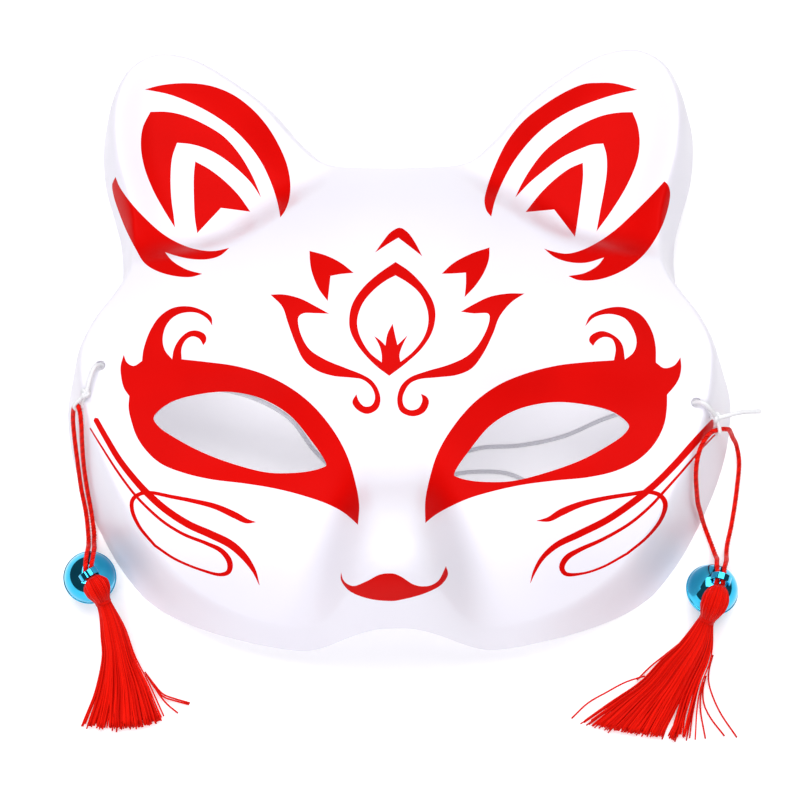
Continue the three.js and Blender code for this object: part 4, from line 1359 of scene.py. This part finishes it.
def tassel_sections(t):
    """Middles, two directions and half sizes along the head and the skirt."""
    share = np.linspace(0, 1, head_steps, endpoint=False)
    points, ways = bezier(t["head_start"], t["head_bend"], t["neck"], share)
    row_at = [row[0] for row in head_rows] + [1.0]
    width = np.interp(share, row_at, [head_radius * row[1] for row in head_rows] + [neck_radius])
    thick = np.interp(share, row_at, [head_thickness * row[2] for row in head_rows] + [neck_radius])
    head_across = unit(t["head_across"])
    across = unit(head_across - ways * (ways @ head_across)[:, None])
    skirt = np.linspace(0, 1, skirt_steps + 1)
    skirt_points, skirt_ways = bezier(t["neck"], t["skirt_bend"], t["skirt_end"], skirt)
    neck_across = unit(head_across - skirt_ways[0] * (skirt_ways[0] @ head_across))
    turn = ease(0, fan_turn_end, skirt)[:, None]
    skirt_across = unit(neck_across * (1 - turn) + unit(t["fan_across"]) * turn)
    skirt_width = neck_radius + (t["fan_half_width"] - neck_radius) * skirt ** t["fan_power"]
    skirt_thick = neck_radius + (t["fan_half_height"] - neck_radius) * ease(0, 1, skirt)
    across = np.concatenate([across, skirt_across])
    ways = np.concatenate([ways, skirt_ways])
    return (np.concatenate([points, skirt_points]), across, unit(np.cross(across, ways)),
            np.concatenate([width, skirt_width]), np.concatenate([thick, skirt_thick]))


def even_rows(points, count):
    """A smooth line through pixels, at even steps."""
    line = smooth_line(points, skirt_side_step)
    at = np.linspace(0, len(line) - 1, count)
    return np.stack([np.interp(at, np.arange(len(line)), line[:, k]) for k in range(2)], 1)


def tassel_piece(name, t, seed, strays, replaced):
    """Strands that leave the head side by side and lie on the table between the skirt's two sides."""
    middles, across, up, width, thick = tassel_sections(t)
    random = np.random.default_rng(seed)
    share = np.linspace(0, 1, skirt_steps + 1)
    left_side = even_rows(t["left_side"], len(share))
    right_side = even_rows(t["right_side"], len(share))
    on_skirt = ease(0, blend_end, share)[:, None]
    from_neck = np.arange(len(middles)) - head_steps
    thin = 1 - (1 - neck_thinning) * np.exp(-(from_neck / neck_spread) ** 2)
    parts = []
    shades = []
    for k in range(strand_count):
        r = math.sqrt((k + 0.5) / strand_count)
        angle = k * golden_turn
        u, v = r * math.cos(angle), r * math.sin(angle)
        side = u * (width - strand_radius)
        lift = np.clip(v, -most_lift, most_lift) * (thick - strand_radius)
        line = middles + across * side[:, None] + up * lift[:, None]
        place = 0.5 + 0.5 * math.asin(u) / (math.pi / 2) * even_share + 0.5 * u * (1 - even_share)
        clump = (math.floor(place * clump_count) + 0.5) / clump_count
        drift = random.normal(0, drift_spread) * share ** 2
        ripple = ripple_size * np.sin(random.uniform(*ripple_starts) + ripple_turns * share) * share
        placed = place + (clump - place) * clump_pull * share ** 3 + (drift + ripple)
        for gap, opens, half in t["gaps"]:
            near_gap = math.exp(-((place - gap) / gap_reach) ** 2)
            placed += np.sign(place - gap) * half * ease(opens, 1, share) * near_gap
        placed = placed[:, None]
        pixels = left_side * (1 - placed) + right_side * placed
        pixels[:, 1] += t["bulge"] * math.sin(math.pi * place) * share ** 3
        laid = on_level(pixels, np.maximum(line[head_steps:, 2], lowest_middle))
        line[head_steps:] = line[head_steps:] * (1 - on_skirt) + laid * on_skirt
        reach = random.normal(0, end_spread)
        line[-1] += (line[-1] - line[-3]) / 2 * reach * skirt_steps
        line[:, 2] = np.maximum(line[:, 2], lowest_middle)
        parts.append(tube(line, strand_radius * thin, strand_sides))
        shades.append(np.clip(random.normal(shade_middle, shade_spread), 0, 1))
    for stray in strays:
        line = on_level(stray, np.linspace(*stray_heights, len(stray)))
        parts.append(tube(smooth_line(line, stray_step), stray_radius, strand_sides))
        shades.append(stray_shade)
    points, faces, part_of = joined(parts)
    return add_piece(name, points, faces, [tassel_silk], replaced,
                     strands=np.array(shades)[part_of])


binding_turns = 5
binding_thread = 0.26 * MM
binding_half = 0.5 * MM
binding_sink = 0.05 * MM
binding_steps = 24
binding_sides = 7
binding_shade = 0.35


def binding_piece(name, t, replaced):
    """Thread wound round the neck."""
    middles, ways = bezier(t["neck"], t["skirt_bend"], t["skirt_end"], [0.0])
    way = ways[0]
    side = unit(np.cross(way, (0, 0, 1)))
    up = np.cross(way, side)
    turn = np.linspace(0, 2 * np.pi * binding_turns, binding_steps * binding_turns)
    along = np.linspace(-binding_half, binding_half, len(turn))
    radius = neck_radius - binding_sink
    line = (middles[0] + way * along[:, None]
            + radius * (side * np.cos(turn)[:, None] + up * np.sin(turn)[:, None]))
    points, faces = tube(line, binding_thread / 2, binding_sides)
    return add_piece(name, points, faces, [tassel_silk], replaced,
                     strands=np.full(len(points), binding_shade))


# Single strands that lie beside the skirts, in pixels
left_strays = [
    [(145, 672), (154, 684), (163, 694), (176, 699), (190, 703)],
    [(146, 674), (155, 688), (164, 697), (176, 701), (189, 704.5)],
    [(149, 678), (159, 694), (167, 704), (178, 713)],
]
right_strays = [
    [(713, 655), (709.5, 668), (708.5, 680), (711.4, 692.6), (719.9, 712), (736.9, 737.4)],
    [(706, 676), (703, 690), (704, 704), (710, 717), (724.5, 736)],
    [(703, 682), (700.7, 696), (700.5, 710), (705.4, 738.6)],
    [(684, 640), (665, 655), (650, 667), (637, 680)],
    [(645, 676), (626, 682), (606, 692.6), (588, 703), (571.5, 718.5)],
]

tassels = [
    tassel_piece("silk_tassel_left", left_tassel, 3, left_strays, "tassel_left"),
    tassel_piece("silk_tassel_right", right_tassel, 8, right_strays, "tassel_right"),
]
bindings = [
    binding_piece("tassel_thread_left", left_tassel, "tassel_binding_left"),
    binding_piece("tassel_thread_right", right_tassel, "tassel_binding_right"),
]

# Table and light

table_half = 1.5
table_glow = 0.28
sky_colour = (0.93, 0.94, 1.0, 1)
sky_strength = 0.1


def table_material():
    """White paper that glows a little, as an overexposed ground does in a photograph."""
    shader = Shader("table_paper", Specular_IOR_Level=0.2, Emission_Color=(1, 0.99, 1, 1),
                    Emission_Strength=table_glow)
    broad = shader.noise(0.15, detail=2.0)
    fine = shader.noise(0.8 * MM, detail=3.0)
    return shader.set(
        Base_Color=shader.ramp(broad, (0.90, 0.90, 0.905), (0.92, 0.92, 0.925)),
        Roughness=shader.spread(fine, 0.65, 0.8),
        Normal=shader.bump(fine, 0.01 * MM, 0.3),
    )


table_mesh = bpy.data.meshes.new("table")
table_mesh.from_pydata(
    [(-table_half, -table_half, 0), (table_half, -table_half, 0), (table_half, table_half, 0),
     (-table_half, table_half, 0)], [], [(0, 1, 2, 3)])
table_mesh.materials.append(table_material())
table = bpy.data.objects.new("table", table_mesh)
bpy.context.scene.collection.objects.link(table)


def area_light(name, place, aim, size, power, colour=(1, 1, 1)):
    light = bpy.data.lights.new(name, "AREA")
    light.shape = "RECTANGLE"
    light.size, light.size_y = size
    light.energy = power
    light.color = colour
    made = bpy.data.objects.new(name, light)
    made.location = place
    made.rotation_euler = (Vector(aim) - Vector(place)).to_track_quat("-Z", "Y").to_euler()
    bpy.context.scene.collection.objects.link(made)


area_light("softbox", place=(0.05, 0.3, 1.1), aim=(0, 0, 0.02), size=(1.4, 1.0), power=14.3)
area_light("fill", place=(-0.2, -0.75, 0.95), aim=(0, -0.02, 0.02), size=(0.9, 0.5), power=8.0,
           colour=(0.97, 0.96, 1.0))

world = bpy.data.worlds.new("studio")
world.use_nodes = True
sky = world.node_tree.nodes["Background"]
sky.inputs["Color"].default_value = sky_colour
sky.inputs["Strength"].default_value = sky_strength
bpy.context.scene.world = world
bpy.context.scene.view_settings.view_transform = "Standard"
